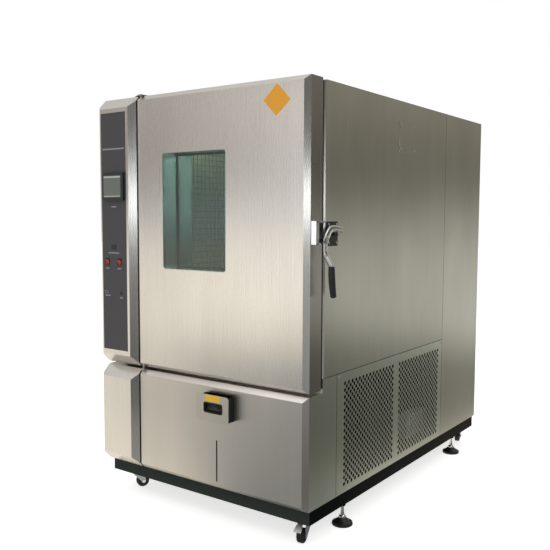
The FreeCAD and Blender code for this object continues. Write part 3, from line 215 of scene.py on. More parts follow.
floor_mesh = bpy.data.meshes.new("floor")
reach = 30.0
floor_mesh.from_pydata(
    [(-reach, -reach, 0.0), (reach, -reach, 0.0), (reach, reach, 0.0), (-reach, reach, 0.0)],
    [], [(0, 1, 2, 3)])
floor = bpy.data.objects.new("floor", floor_mesh)
bpy.context.scene.collection.objects.link(floor)
floor_paint = bpy.data.materials.new("floor_white")
floor_paint.use_nodes = True
tree = floor_paint.node_tree
tree.nodes.clear()
camera_glow = 0.72
ray = tree.nodes.new("ShaderNodeLightPath").outputs
glow = plain_shader(tree, "ShaderNodeEmission", (1.0, 1.0, 1.0))
wire(tree, reckoned(tree, "MULTIPLY", ray["Is Camera Ray"], camera_glow),
     glow.node.inputs["Strength"])
lit_floor = tree.nodes.new("ShaderNodeAddShader")
wire(tree, plain_shader(tree, "ShaderNodeBsdfDiffuse", (0.8, 0.8, 0.8)), lit_floor.inputs[0])
wire(tree, glow, lit_floor.inputs[1])

# Metal sees a painted reflection in the floor: white to the front left, with painted shade in the
# cabinet's lee to the front and at its side. The lee's edges run aslant from the cabinet's corner.
ground = axes(tree, tree.nodes.new("ShaderNodeTexCoord").outputs["Object"])
aslant = reckoned(tree, "SUBTRACT", ground["X"], ground["Y"])
painted_lee_mask = reckoned(tree, "MULTIPLY",
                  ranged(tree, aslant, right - front - 0.82, right - front - 0.25,
                         curve="SMOOTHSTEP"),
                  ranged(tree, ground["Y"], front - 4.0, front - 3.1, curve="SMOOTHSTEP"))
painted_lee_reflection = mixed(tree, painted_lee_mask, (1.0, 0.94, 0.82), (0.3, 0.305, 0.295))
painted_side_reflection = ramped(tree, ranged(tree, ground["Y"], -7.0, 8.0), [
    (0.0, 1.0), (0.21, 0.92), (0.32, 0.55), (0.38, (0.3, 0.3, 0.28)),
    (0.47, (0.16, 0.155, 0.12)), (0.67, (0.28, 0.275, 0.235)), (0.84, (0.85, 0.84, 0.75)),
])
# slope and offset of each slanting edge, the stretch across it, and the painted shade short of it
for slope, offset, low, high, shade in ((0.9, -0.9 * right - front, -0.9, -0.1, 0.2),
                                        (-2.1, 2.1 * right, -2.5, 0.5, 0.5)):
    sloped = reckoned(tree, "MULTIPLY_ADD", ground["X"], slope, offset)
    beyond = reckoned(tree, "ADD", sloped, ground["Y"])
    painted_side_reflection = mixed(tree, 1.0, painted_side_reflection,
                      ranged(tree, beyond, low, high, shade, 1.0, "SMOOTHSTEP"), "MULTIPLY")
at_side = ranged(tree, ground["X"], right - 0.1, right + 0.5, curve="SMOOTHSTEP")
# Glossy rays see the painted reflection as a glow; camera and other rays see the lit white floor.
choose(tree, ray["Is Glossy Ray"], lit_floor.outputs["Shader"],
       plain_shader(tree, "ShaderNodeEmission", mixed(tree, at_side, painted_lee_reflection, painted_side_reflection)),
       tree.nodes.new("ShaderNodeOutputMaterial"))
floor_mesh.materials.append(floor_paint)


# Base frame: four black enamelled rails under the cabinet, with two crossbars and the caster
# plates. The enamel has a fine orange-peel grain, and its faces that look to the right carry
# painted shade. The rails keep the frame's own shape.
def new_material(name):
    """A material, its node tree and the inputs of its surface."""
    material = bpy.data.materials.new(name)
    material.use_nodes = True
    return material, material.node_tree, material.node_tree.nodes["Principled BSDF"].inputs


def object_noise(tree, scale, detail=2.0, roughness=0.5):
    """Noise in the piece's own coordinates, stretched by three scales per metre."""
    mapping = make_node(tree, "ShaderNodeMapping", Scale=scale)
    wire(tree, tree.nodes.new("ShaderNodeTexCoord").outputs["Object"], mapping.inputs["Vector"])
    noise = make_node(tree, "ShaderNodeTexNoise", Scale=1.0, Detail=detail, Roughness=roughness)
    wire(tree, mapping.outputs["Vector"], noise.inputs["Vector"])
    return noise.outputs["Fac"]


def spread(tree, noise, low=0.0, high=1.0):
    """Stretches the middle of a noise to run from low to high."""
    return ranged(tree, noise, 0.3, 0.7, low, high)


def toned(tree, source, colour, change):
    """A colour that is darker where the value is low and lighter where it is high."""
    return mixed(tree, source, [c * (1.0 - change) for c in colour],
                 [min(c * (1.0 + change), 1.0) for c in colour])


def raise_relief(tree, source, strength, depth, surface):
    """Lets a value stand out of a surface."""
    bump = make_node(tree, "ShaderNodeBump", Strength=strength, Distance=depth)
    wire(tree, source, bump.inputs["Height"])
    wire(tree, bump.outputs["Normal"], surface["Normal"])


def grained(name, colour, metallic, roughness, grain, change=0.12, swing=0.08, relief=0.0001):
    """A finish with one grain that moves its tone, its roughness and its relief together."""
    material, tree, surface = new_material(name)
    wire(tree, metallic, surface["Metallic"])
    grain_value = object_noise(tree, (grain, grain, grain))
    wire(tree, toned(tree, grain_value, colour, change), surface["Base Color"])
    wire(tree, spread(tree, grain_value, roughness - swing, roughness + swing),
         surface["Roughness"])
    raise_relief(tree, grain_value, 0.3, relief, surface)
    return material


def dress(names, material):
    """Gives CAD nodes a finish."""
    for name in names:
        mesh = nodes[name].data
        mesh.materials.clear()
        mesh.materials.append(material)


black_enamel = grained("black_enamel", (0.007, 0.012, 0.012), 0.0, 0.34, 420.0, relief=0.0002)
tree = black_enamel.node_tree
surface = tree.nodes["Principled BSDF"].inputs
wire(tree, 0.02, surface["Specular IOR Level"])
# Painted shade: the base colour follows the normal, so faces that look to the right are painted
# darker than those that look to the front and left.
painted_shade_facing = axes(tree, tree.nodes.new("ShaderNodeNewGeometry").outputs["Normal"])
wire(tree, ramped(tree, painted_shade_facing["X"], [(0.2, (0.045, 0.054, 0.05)), (0.8, (0.002, 0.0045, 0.004))]),
     surface["Base Color"])
dress(["base_frame"], black_enamel)


# Casters: pressed steel forks that swivel in a ball race under the base, rubber wheels on a grey
# plastic hub, an axle bolt through both cheeks, and a plated brake pedal on the two front ones.
def skin(rings, caps=True):
    """Points and faces over closed rings: point j of ring i joins point j + 1 and ring i + 1."""
    rings = np.asarray(rings, float)
    index = np.arange(rings.shape[0] * rings.shape[1]).reshape(rings.shape[:2])
    beside = np.roll(index, -1, axis=1)
    faces = [np.stack([index[:-1], beside[:-1], beside[1:], index[1:]], axis=-1).reshape(-1, 4)]
    if caps:
        faces += [index[:1, ::-1], index[-1:]]
    return rings.reshape(-1, 3), faces


def joined(*parts):
    """Several lots of points and faces as one."""
    starts = np.cumsum([0] + [len(points) for points, _ in parts])
    return (np.concatenate([points for points, _ in parts]),
            [lot + start for start, (_, faces) in zip(starts, parts) for lot in faces])


def lathe(outline, segments=32, caps=True):
    """Rings about Z: each radius and height of the outline goes round a full circle."""
    outline = np.asarray(outline, float)
    angle = np.linspace(0.0, 2.0 * math.pi, segments, endpoint=False)
    radius, height = outline[:, :1], outline[:, 1:]
    return skin(np.stack([radius * np.cos(angle), radius * np.sin(angle), height + 0.0 * angle],
                         axis=-1), caps)


def slab(outline, low, high):
    """A flat outline in X and Y carried straight up from low to high."""
    return skin([np.column_stack([outline, np.full(len(outline), level)])
                 for level in (low, high)])


def block(low, high):
    """A rectangle carried straight up between two opposite corners."""
    return slab([(low[0], low[1]), (high[0], low[1]), (high[0], high[1]), (low[0], high[1])],
                low[2], high[2])


def turned(part, axis_x=(1, 0, 0), axis_y=(0, 1, 0), axis_z=(0, 0, 1), place=(0, 0, 0)):
    """Points whose own X, Y and Z run along three new directions, moved to a place."""
    points, faces = part
    return points @ np.array([axis_x, axis_y, axis_z], float) + np.asarray(place, float), faces


def make_piece(name, part, material, body, replaced=(), smooth=0.6, bevel=0.0, gauge=0.0):
    """A piece from points and faces, with its finish and body. It is closed, or else a flat sheet
    that faces right and is given a gauge."""
    points, faces = part
    mesh = bpy.data.meshes.new(name)
    mesh.from_pydata(points.tolist(), [], [face for lot in faces for face in lot.tolist()])
    work = bmesh.new()
    work.from_mesh(mesh)
    bmesh.ops.remove_doubles(work, verts=work.verts, dist=1e-6)
    bmesh.ops.recalc_face_normals(work, faces=work.faces)
    work.faces.ensure_lookup_table()
    if gauge and work.faces[0].normal.x < 0.0:
        bmesh.ops.reverse_faces(work, faces=work.faces)
    work.to_mesh(mesh)
    work.free()
    if gauge:
        mesh.shade_flat()
    else:
        mesh.shade_smooth()
        mesh.set_sharp_from_angle(angle=smooth)
    mesh.materials.append(material)
    piece = bpy.data.objects.new(name, mesh)
    bpy.context.scene.collection.objects.link(piece)
    if gauge:
        thick = piece.modifiers.new("gauge", "SOLIDIFY")
        thick.thickness = gauge
        thick.offset = -1.0
    if bevel:
        edge = piece.modifiers.new("edge", "BEVEL")
        edge.width = bevel
        edge.segments = 2
        edge.limit_method = "ANGLE"
        edge.harden_normals = True
    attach(piece, body)
    if replaced:
        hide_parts(*replaced)


def plan_middle(low, high, level=0.0):
    """The middle of a box seen from above, at a level."""
    return ((low.x + high.x) / 2.0, (low.y + high.y) / 2.0, level)


def arc(centre, radius, start, stop, count):
    """Points on a circle between two angles in degrees."""
    angle = np.radians(np.linspace(start, stop, count))
    return np.column_stack([centre[0] + radius * np.cos(angle), centre[1] + radius * np.sin(angle)])


caster_steel = grained("caster_zinc", (0.35, 0.38, 0.41), 1.0, 0.34, 300.0)
plated_steel = grained("bright_plating", (0.62, 0.63, 0.64), 1.0, 0.16, 90.0, change=0.05,
                       swing=0.05, relief=0.00005)
pedal_plating = grained("pedal_plating", (0.86, 0.88, 0.92), 0.5, 0.3, 90.0, change=0.05,
                        swing=0.05, relief=0.00005)
wheel_rubber = grained("wheel_rubber", (0.016, 0.016, 0.017), 0.0, 0.62, 500.0, relief=0.0003)
wheel_hub = grained("wheel_hub_plastic", (0.05, 0.05, 0.055), 0.0, 0.45, 350.0)

wheel_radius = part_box("caster_wheel_front_right")[1].z / 2.0
tread_half = 0.014
tread_round = 0.005
hub_half = 0.0158
hub_radius = 0.62 * wheel_radius
cheek_gauge = 0.003
cheek_offset = 0.0205
corners = ("front_right", "front_left", "rear_right", "rear_left")
upward = np.array([0.0, 0.0, 1.0])
for corner in corners:
    swivel = np.array(joints["caster_swivel_" + corner]["pos_m"])
    roll = np.array(joints["caster_roll_" + corner]["pos_m"])
    trail_line = (roll - swivel) * (1.0, 1.0, 0.0)
    trail = float(np.linalg.norm(trail_line))
    along = trail_line / trail
    across = np.array([-along[1], along[0], 0.0])
    fork_axes = (along, across, upward, (swivel[0], swivel[1], 0.0))
    wheel_axes = (along, upward, -across)
    fork_top = float(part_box("caster_fork_" + corner)[1].z)

    tyre = lathe(np.concatenate([
        [(hub_radius, -tread_half)],
        arc((wheel_radius - tread_round, -tread_half + tread_round), tread_round, -90, 0, 5),
        arc((wheel_radius - tread_round, tread_half - tread_round), tread_round, 0, 90, 5),
        [(hub_radius, tread_half)],
    ]), 40, caps=False)
    rim = lathe([
        (0.0052, -hub_half), (0.013, -hub_half), (0.0145, -0.008), (hub_radius - 0.003, -0.008),
        (hub_radius, -tread_half), (hub_radius, tread_half), (hub_radius - 0.003, 0.008),
        (0.0145, 0.008), (0.013, hub_half), (0.0052, hub_half),
    ], 40)
    make_piece("tyre_" + corner, turned(tyre, *wheel_axes, roll), wheel_rubber,
               "wheel_" + corner, ["caster_wheel_" + corner])
    make_piece("wheel_rim_" + corner, turned(rim, *wheel_axes, roll), wheel_hub,
               "wheel_" + corner)

    cheek_outline = np.concatenate([
        arc((trail, wheel_radius), 0.011, 180, 360, 9),
        [(trail + 0.008, fork_top - 0.03), (0.022, fork_top - 0.008), (-0.024, fork_top - 0.008),
         (-0.022, fork_top - 0.02)],
    ])
    cheeks = [turned(slab(cheek_outline, side - cheek_gauge / 2.0, side + cheek_gauge / 2.0),
                     *wheel_axes, fork_axes[3]) for side in (-cheek_offset, cheek_offset)]
    crown = block((-0.024, -cheek_offset - 0.0015, fork_top - 0.011),
                  (0.022, cheek_offset + 0.0015, fork_top - 0.008))
    make_piece("fork_" + corner, joined(*cheeks, turned(crown, *fork_axes)),
               caster_steel, "caster_" + corner, ["caster_fork_" + corner],
               bevel=0.0012)
    race = lathe([(0.004, fork_top - 0.008), (0.019, fork_top - 0.008), (0.0225, fork_top - 0.005),
                  (0.0225, fork_top - 0.0005), (0.004, fork_top - 0.0005)], 36)
    make_piece("swivel_race_" + corner, turned(race, *fork_axes), plated_steel,
               "caster_" + corner)
    bolt_heads = [lathe([(0.0078, side * 0.0219), (0.0085, side * 0.0222), (0.0085, side * 0.0236),
                         (0.0066, side * 0.024)], 6) for side in (1.0, -1.0)]
    bolt = joined(lathe([(0.0048, -0.0225), (0.0048, 0.0225)], 20), *bolt_heads)
    make_piece("axle_bolt_" + corner, turned(bolt, *wheel_axes, roll), plated_steel,
               "caster_" + corner)

    if corner.startswith("front"):
        pivot = np.array(joints["brake_press_" + corner]["pos_m"])
        # reach, lift and half width of the pedal's strip, from its pivot out
        bend = np.array([(0.000, 0.000, 0.008), (0.014, 0.001, 0.010), (0.030, 0.001, 0.011),
                         (0.040, -0.001, 0.014), (0.058, -0.0155, 0.018),
                         (0.066, -0.0205, 0.017)])
        strip = np.stack([bend * (1.0, 1.0, side) + (0.0, lift, 0.0)
                          for side, lift in ((-1.0, -0.0015), (1.0, -0.0015), (1.0, 0.0015),
                                             (-1.0, 0.0015))], axis=1)[:, :, [0, 2, 1]]
        pedal_hub = turned(lathe([(0.0036, -0.0105), (0.0062, -0.0105), (0.0062, 0.0105),
                                  (0.0036, 0.0105)], 20), (1, 0, 0), (0, 0, 1), (0, -1, 0))
        make_piece("brake_lever_" + corner,
                   turned(joined(skin(strip), pedal_hub), along, across, upward, pivot),
                   pedal_plating, "pedal_" + corner, ["brake_pedal_" + corner],
                   bevel=0.0008)


# Levelling feet: a black moulded pad with a rounded skirt, and a plated stem that stands in it on a
# collar. Its thread, turned in the lug under the rail, shows when the foot is screwed out.
foot_rubber = grained("foot_rubber", (0.014, 0.014, 0.015), 0.0, 0.4, 260.0, relief=0.0003)
# The thread's radius falls and rises once per pitch, and a full turn shifts it by one pitch.
thread_pitch = 0.003
thread_root = 0.0068
thread_depth = 0.0011
thread_rows = np.arange(0.086, 0.123, thread_pitch / 4.0)[:, None]
turn = np.linspace(0.0, 2.0 * math.pi, 20, endpoint=False)
phase = (thread_rows / thread_pitch + turn / (2.0 * math.pi)) % 1.0
thread_radius = thread_root + thread_depth * np.abs(2.0 * phase - 1.0)
thread = skin(np.stack([thread_radius * np.cos(turn), thread_radius * np.sin(turn),
                        thread_rows + 0.0 * turn], axis=-1))
cone = lathe([(0.002, 0.0335), (0.0165, 0.0335), (0.0165, 0.0395), (0.0145, 0.0425),
              (0.0105, 0.046), (0.0088, 0.056), (0.0078, 0.064), (0.0077, 0.087),
              (0.002, 0.087)], 32)
for corner in corners:
    foot_low, foot_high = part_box("levelling_foot_" + corner)
    place = plan_middle(foot_low, foot_high)
    pad_radius = (foot_high.x - foot_low.x) / 2.0
    pad = lathe(np.concatenate([
        [(0.002, 0.0), (pad_radius - 0.004, 0.0)],
        arc((pad_radius - 0.004, 0.004), 0.004, -90, 0, 4)[1:],
        [(pad_radius - 0.0005, 0.009), (pad_radius - 0.002, 0.0135), (0.040, 0.0165),
         (0.034, 0.020), (0.027, 0.0245), (0.0205, 0.0305), (0.0175, 0.034), (0.002, 0.034)],
    ]), 48)
    make_piece("foot_pad_" + corner, turned(pad, place=place), foot_rubber, "foot_" + corner,
               ["levelling_foot_" + corner])
    make_piece("foot_stem_" + corner, turned(joined(cone, thread), place=place), plated_steel,
               "foot_" + corner)


# Machine bay: a domed hermetic compressor with a welded seam, and a sheet junction box that shows
# through the punched field. The box's pale enamel is painted light: it stands for the light that
# comes through the bay from its far side.
bay_enamel = grained("compressor_enamel", (0.02, 0.02, 0.021), 0.0, 0.35, 200.0)
# Painted light: the box is pale where light comes through the bay.
box_finish_painted_light = grained("junction_box_painted_light", (0.78, 0.78, 0.76), 0.0, 0.5, 160.0, change=0.03)
shell_low, shell_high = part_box("compressor")
shell_radius = (shell_high.x - shell_low.x) / 2.0
can_radius = shell_radius * 0.84
seam_radius = shell_radius * 0.89
shell_height = shell_high.z - shell_low.z
dome_height = shell_height * 0.32
compressor = lathe(np.concatenate([
    [(0.002, 0.0), (shell_radius, 0.0), (shell_radius, 0.008), (can_radius, 0.012),
     (can_radius, shell_height * 0.52), (seam_radius, shell_height * 0.525),
     (seam_radius, shell_height * 0.545), (can_radius, shell_height * 0.55)],
    arc((0.0, 0.0), 1.0, 0, 88, 10) * (can_radius, dome_height) + (0.0, shell_height * 0.68),
]), 48)
make_piece("compressor_shell",
           turned(compressor, place=plan_middle(shell_low, shell_high, shell_low.z)),
           bay_enamel, "cabinet", ["compressor"])
box_low, box_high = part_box("junction_box")
lid_x = box_high.x - 0.004
make_piece("junction_housing",
           joined(block(box_low, (lid_x, box_high.y, box_high.z)),
                  block((lid_x, box_low.y, box_low.z), box_high)),
           box_finish_painted_light, "cabinet", ["junction_box"], bevel=0.003)


# Cabinet panels: 2 mm stainless sheet with a vertical ground finish. The side carries a slow cloudy
# tone from handling and cleaning, and its front edge is folded in at 45 degrees.
def brushed_stainless(name, colour, roughness=0.3, cloud=0.06, anisotropy=0.7, painted_right_shade=1.0):
    """Ground sheet: fine vertical scratches move the roughness and relief, slow clouds and faint
    streaks the tone. The last argument is a painted shade: the tone of the faces that look to the
    right, the edges folded back, is multiplied by it."""
    material, tree, surface = new_material(name)
    wire(tree, 1.0, surface["Metallic"])
    wire(tree, anisotropy, surface["Anisotropic"])
    scratches = object_noise(tree, (420.0, 420.0, 3.0), 4.0, 0.6)
    streaks = spread(tree, object_noise(tree, (26.0, 26.0, 0.7), 3.0))
    clouds = spread(tree, object_noise(tree, (2.2, 2.2, 1.1)))
    streak = 0.015
    shade = mixed(tree, 1.0, toned(tree, clouds, colour, cloud),
                  toned(tree, streaks, (1.0 - streak,) * 3, streak), "MULTIPLY")
    # Painted shade on the faces that look to the right.
    if painted_right_shade < 1.0:
        painted_shade_facing = axes(tree, tree.nodes.new("ShaderNodeTexCoord").outputs["Normal"])["X"]
        shade = mixed(tree, 1.0, shade, ranged(tree, painted_shade_facing, 0.85, 0.95, 1.0, painted_right_shade), "MULTIPLY")
    wire(tree, shade, surface["Base Color"])
    wire(tree, spread(tree, scratches, roughness - 0.03, roughness + 0.03), surface["Roughness"])
    raise_relief(tree, scratches, 0.03, 0.0002, surface)
    brush = make_node(tree, "ShaderNodeVectorMath", operation="CROSS_PRODUCT")
    wire(tree, (0.02, 0.03, 1.0), brush.inputs[0])
    wire(tree, tree.nodes.new("ShaderNodeNewGeometry").outputs["Normal"], brush.inputs[1])
    wire(tree, brush.outputs["Vector"], surface["Tangent"])
    return material


side_steel = brushed_stainless("side_stainless", (0.7, 0.7, 0.645), cloud=0.1)
bay_steel = brushed_stainless("bay_stainless", (0.74, 0.78, 0.72))
# The front sheet's faces that look to the right are painted at 0.6 of its tone, a painted shade.
front_steel = brushed_stainless("front_stainless", (0.78, 0.755, 0.72), roughness=0.27,
                                painted_right_shade=0.6)
dress(["rear_bay_panel_right", "cover_plate", "top_panel", "side_panel_left", "rear_panel"],
      side_steel)
dress(["front_post_right"], bay_steel)
dress(["front_frame"], front_steel)

panel_low, panel_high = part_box("side_panel_right")
fold = 0.0085
sheet = 0.002
side_outline = [
    (panel_high.x, panel_high.y), (panel_high.x, panel_low.y + fold),
    (panel_high.x - fold, panel_low.y), (panel_high.x - fold - 0.001, panel_low.y + 0.0015),
    (panel_high.x - sheet, panel_low.y + fold + 0.0006), (panel_high.x - sheet, panel_high.y),
]
make_piece("side_sheet_right", slab(side_outline, panel_low.z, panel_high.z), side_steel, "cabinet",
           ["side_panel_right"])

# The rear sheet's lower edge is folded in over the base frame.
rear_low, rear_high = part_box("rear_panel")
base_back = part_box("base_frame")[1].y
make_piece("rear_sheet_fold", block((rear_low.x, base_back - 0.006, rear_low.z),
                                    (rear_high.x, rear_high.y - sheet, rear_low.z + sheet)),
           side_steel, "cabinet")


# Service panel: one sheet with two fields of round holes in staggered rows, closed by four screws.
# Each hole sits in a rhombus of sheet, and the margins fill the rest of the rectangle.
def paired(first, second):
    """Points whose two coordinates come from two arrays or numbers."""
    return np.stack(np.broadcast_arrays(first, second), axis=-1)


def punched_sheet(low, high, fields, field_low, field_high, columns, rows, radius):
    """Points and faces of a flat sheet in Y and Z. Around each hole the ring between a rhombus and
    a circle is split into twelve cells, an edge cell fills the gap between two rhombus tips, and
    margins are a grid that meets the tips."""
    thirds = np.arange(4)[:, None] / 3.0
    row_step = (field_high - field_low) / (rows - 1)
    levels = field_low + row_step * np.arange(rows)
    mid_levels = levels[:-1] + row_step / 2.0
    edges_z = np.array([field_low - row_step / 2.0, field_high + row_step / 2.0])
    lines_z = np.concatenate([[low.z], edges_z[:1], levels, edges_z[1:], [high.z]])
    turns = np.radians(np.arange(12) * 30.0)
    circle = paired(np.cos(turns), np.sin(turns)) * radius
    lines_y = [[low.y]]
    lots = []
    for start, stop in fields:
        column_step = (stop - start) / (columns - 1)
        spots = start + column_step * np.arange(columns)
        mid_spots = spots[:-1] + column_step / 2.0
        edges_y = np.array([start - column_step / 2.0, stop + column_step / 2.0])
        lines_y += [edges_y[:1], spots, edges_y[1:]]
        tips = np.array([(column_step, 0.0), (0.0, row_step), (-column_step, 0.0),
                         (0.0, -row_step)]) / 2.0
        rhombus = (tips[:, None] * (1.0 - thirds[:3])
                   + np.roll(tips, -1, axis=0)[:, None] * thirds[:3]).reshape(12, 2)
        centres = np.concatenate([paired(spots[:, None], levels).reshape(-1, 2),
                                  paired(mid_spots[:, None], mid_levels).reshape(-1, 2)])
        inner = circle + centres[:, None]
        outer = rhombus + centres[:, None]
        lots.append(np.stack([inner, outer, np.roll(outer, -1, axis=1), np.roll(inner, -1, axis=1)],
                             axis=2).reshape(-1, 4, 2))
        gaps = [(paired(spots[:-1], edge), paired(spots[1:], edge), paired(mid_spots, level))
                for edge, level in zip(edges_z, (field_low, field_high))]
        gaps += [(paired(edge, levels[:-1]), paired(edge, levels[1:]), paired(line, mid_levels))
                 for edge, line in zip(edges_y, (start, stop))]
        for first, second, inward in (tuple(point[:, None] for point in gap) for gap in gaps):
            lots.append(np.concatenate([second + (inward - second) * thirds,
                                        inward + (first - inward) * thirds[1:]], axis=1))
        corner = paired(edges_y[:, None], edges_z).reshape(-1, 1, 2)
        tip_side = paired(edges_y[:, None], np.array([field_low, field_high])).reshape(-1, 1, 2)
        tip_end = paired(np.array([start, stop])[:, None], edges_z).reshape(-1, 1, 2)
        lots.append(np.concatenate([corner, tip_side + (tip_end - tip_side) * thirds], axis=1))
    lines_y = np.concatenate([*lines_y, [high.y]])
    cells = [paired(lines_y[a:len(lines_y) - 1 + a, None], lines_z[b:len(lines_z) - 1 + b])
             for a, b in ((0, 0), (1, 0), (1, 1), (0, 1))]
    middle = (cells[0] + cells[2]) / 2.0
    in_field = np.any([(middle[..., 0] > start - column_step / 2.0)
                       & (middle[..., 0] < stop + column_step / 2.0) for start, stop in fields],
                      axis=0)
    in_field &= (middle[..., 1] > edges_z[0]) & (middle[..., 1] < edges_z[1])
    lots.append(np.stack(cells, axis=2)[~in_field])
    starts = np.cumsum([0] + [lot.shape[0] * lot.shape[1] for lot in lots])
    return (np.concatenate([lot.reshape(-1, 2) for lot in lots]),
            [first + np.arange(lot.shape[0] * lot.shape[1]).reshape(lot.shape[:2])
             for first, lot in zip(starts, lots)])


service_low, service_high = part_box("service_panel")
hole_fields = [(front + 0.308, front + 0.768), (front + 0.842, front + 1.304)]
flat_points, flat_faces = punched_sheet(
    service_low, service_high, hole_fields, field_low=0.206, field_high=0.660, columns=15, rows=16,
    radius=0.0092)
make_piece("service_sheet",
           (np.column_stack([np.full(len(flat_points), right), flat_points]), flat_faces),
           bay_steel, "cabinet", ["service_panel"], gauge=sheet)


# Panel screws: zinc plated pan heads with a cross recess, on the cover plate and on the service
# panel. The recess is cut where the head's surface lies within the arms of a cross.
def sideways(part, place):
    """A part whose own Z looks to the right."""
    return turned(part, (0, 1, 0), (0, 0, 1), (1, 0, 0), place)


def screw_head(radius, height, arm, recess, place):
    """Height over a disc: a low dome, less a recess where x or y is within the cross's arm. The
    head looks to the right."""
    turns = np.linspace(0.0, 2.0 * math.pi, 32, endpoint=False)
    shares = np.array([1.0, 0.9, 0.75, 0.62, 0.56, 0.5, 0.4, 0.3, 0.2, 0.12, 0.02])[:, None]
    grid_radius = radius * shares + 0.0 * turns
    x = grid_radius * np.cos(turns)
    y = grid_radius * np.sin(turns)
    dome = height * (1.0 - 0.45 * shares ** 4)
    crossed = (np.minimum(np.abs(x), np.abs(y)) < arm) & (grid_radius < 0.58 * radius)
    rings = np.stack([x, y, np.where(crossed, dome - recess, dome)], axis=-1)
    return sideways(skin(np.concatenate([rings[:1] * (1.0, 1.0, 0.0), rings])), place)


def corner_spots(x, low_y, high_y, low_z, high_z):
    """The corners of a rectangle on the side."""
    return [(x, y, z) for y in (low_y, high_y) for z in (low_z, high_z)]


screw_zinc = grained("screw_zinc", (0.66, 0.67, 0.66), 1.0, 0.28, 600.0)
cover_low, cover_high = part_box("cover_plate")
screw_inset = 0.014
head_spots = [spot for x, low, high in ((cover_high.x, cover_low, cover_high),
                                        (right, service_low, service_high))
              for spot in corner_spots(x, low.y + screw_inset, high.y - screw_inset,
                                      low.z + screw_inset, high.z - screw_inset)]
heads = [screw_head(0.0048, 0.0019, 0.0006, 0.0008, spot) for spot in head_spots]
make_piece("screw_heads", joined(*heads), screw_zinc, "cabinet", ["panel_screws"])


# Test space: polished stainless liner, slotted shelf standards, and the air guard on the left wall,
# a grid of round wires in a frame in front of the duct.
dress(["inner_liner", "shelf_standards"],
      brushed_stainless("liner_stainless", (0.62, 0.66, 0.63), roughness=0.2, cloud=0.05,
                        anisotropy=0.3))
guard_steel = brushed_stainless("guard_stainless", (0.29, 0.26, 0.14), roughness=0.35)
duct_low, duct_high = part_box("air_duct_grille")
wire_pitch = 0.029
wire_radius = 0.0022
wire_end = 0.002
rim_width = 0.012


def bar(start, stop, radius, segments=8):
    """A round wire between two points."""
    start, stop = np.asarray(start, float), np.asarray(stop, float)
    along = (stop - start) / np.linalg.norm(stop - start)
    sideward = np.cross(along, (0.3, 0.5, 0.8))
    sideward /= np.linalg.norm(sideward)
    turns = np.linspace(0.0, 2.0 * math.pi, segments, endpoint=False)[:, None]
    ring = radius * (np.cos(turns) * sideward + np.sin(turns) * np.cross(along, sideward))
    return skin([start + ring, stop + ring])


wire_x = duct_high.x - wire_radius
crossing_x = wire_x - 0.0016
wires = [bar((wire_x, y, duct_low.z + wire_end), (wire_x, y, duct_high.z - wire_end), wire_radius)
         for y in np.arange(duct_low.y + rim_width, duct_high.y - rim_width, wire_pitch)]
wires += [bar((crossing_x, duct_low.y + wire_end, z), (crossing_x, duct_high.y - wire_end, z),
              wire_radius)
          for z in np.arange(duct_low.z + rim_width, duct_high.z - rim_width, wire_pitch)]
guard_dark = grained("guard_wire", (0.05, 0.055, 0.04), 0.7, 0.4, 300.0)
make_piece("guard_wires", joined(*wires), guard_dark, "cabinet",
           ["air_duct_grille"])
guard_plate = block(duct_low, (duct_low.x + 0.0006, duct_high.y, duct_high.z))
make_piece("guard_backing", guard_plate, guard_steel, "cabinet")
area_lamp("chamber_lamp", (duct_low.x + 0.4, duct_low.y + 0.1, duct_high.z + 0.02),
          (duct_low.x + 0.3, duct_low.y + 0.2, 0.8), 0.5, 0.3, 3.5, (0.93, 1.0, 0.95))


# Control column: two bevelled stainless covers with a dark fascia in the upper one. The bevels keep
# the same ground finish.
dress(["column_upper_shell", "column_lower_shell"], front_steel)
dress(["control_fascia"],
      grained("fascia_vinyl", (0.067, 0.066, 0.075), 0.0, 0.5, 700.0, change=0.1))


# Captions: pale blank bars printed on the fascia where the maker's words stood.
def print_on(low_x, high_x, surface_y, low_z, high_z):
    """A thin printed field on a face that looks to the front."""
    return block((low_x, surface_y - 0.0002, low_z), (high_x, surface_y + 0.0002, high_z))


caption_ink = grained("caption_ink", (0.36, 0.36, 0.38), 0.0, 0.5, 400.0)
fascia_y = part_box("control_fascia")[0].y
body_width = 1.2
column_left = right - body_width
caption_lines = [
    # start, length and height of each bar, in metres from the column's left edge and the floor
    (0.028, 0.150, 1.7060, 0.0060), (0.086, 0.034, 1.4310, 0.0055), (0.060, 0.076, 1.2085, 0.0055),
    (0.043, 0.022, 1.1330, 0.0055), (0.124, 0.026, 1.1330, 0.0055), (0.036, 0.034, 1.0000, 0.0055),
    (0.138, 0.020, 0.9930, 0.0055),
]
bars = [print_on(column_left + start, column_left + start + length, fascia_y, level, level + height)
        for start, length, level, height in caption_lines]
make_piece("caption_bars", joined(*bars), caption_ink, "cabinet")


# Touch panel: a dark moulded bezel with round corners around a matt glass that is lit a faint grey.
def box_outline(box, radius, inset=0.0):
    """A box seen from the front, with quarter circles for corners and drawn in by an inset."""
    low, high = box
    edge = radius + inset
    centres = ((high.x - edge, high.z - edge), (low.x + edge, high.z - edge),
               (low.x + edge, low.z + edge), (high.x - edge, low.z + edge))
    return np.concatenate([arc(centre, radius, quarter * 90, quarter * 90 + 90, 6)
                           for quarter, centre in enumerate(centres)])


def upright(outline, depth):
    """A flat outline stood up in X and Z at a depth."""
    outline = np.asarray(outline, float)
    return np.column_stack([outline[:, 0], np.full(len(outline), depth), outline[:, 1]])


def framed(outer, inner, front_y, back_y):
    """A frame between two outlines of as many points, in X and Z, from front to back."""
    return skin([upright(outline, depth)
                 for outline, depth in ((outer, back_y), (outer, front_y), (inner, front_y),
                                        (inner, back_y), (outer, back_y))], caps=False)


def plate(outline, front_y, back_y):
    """A flat outline in X and Z, from front to back."""
    return skin([upright(outline, front_y), upright(outline, back_y)])


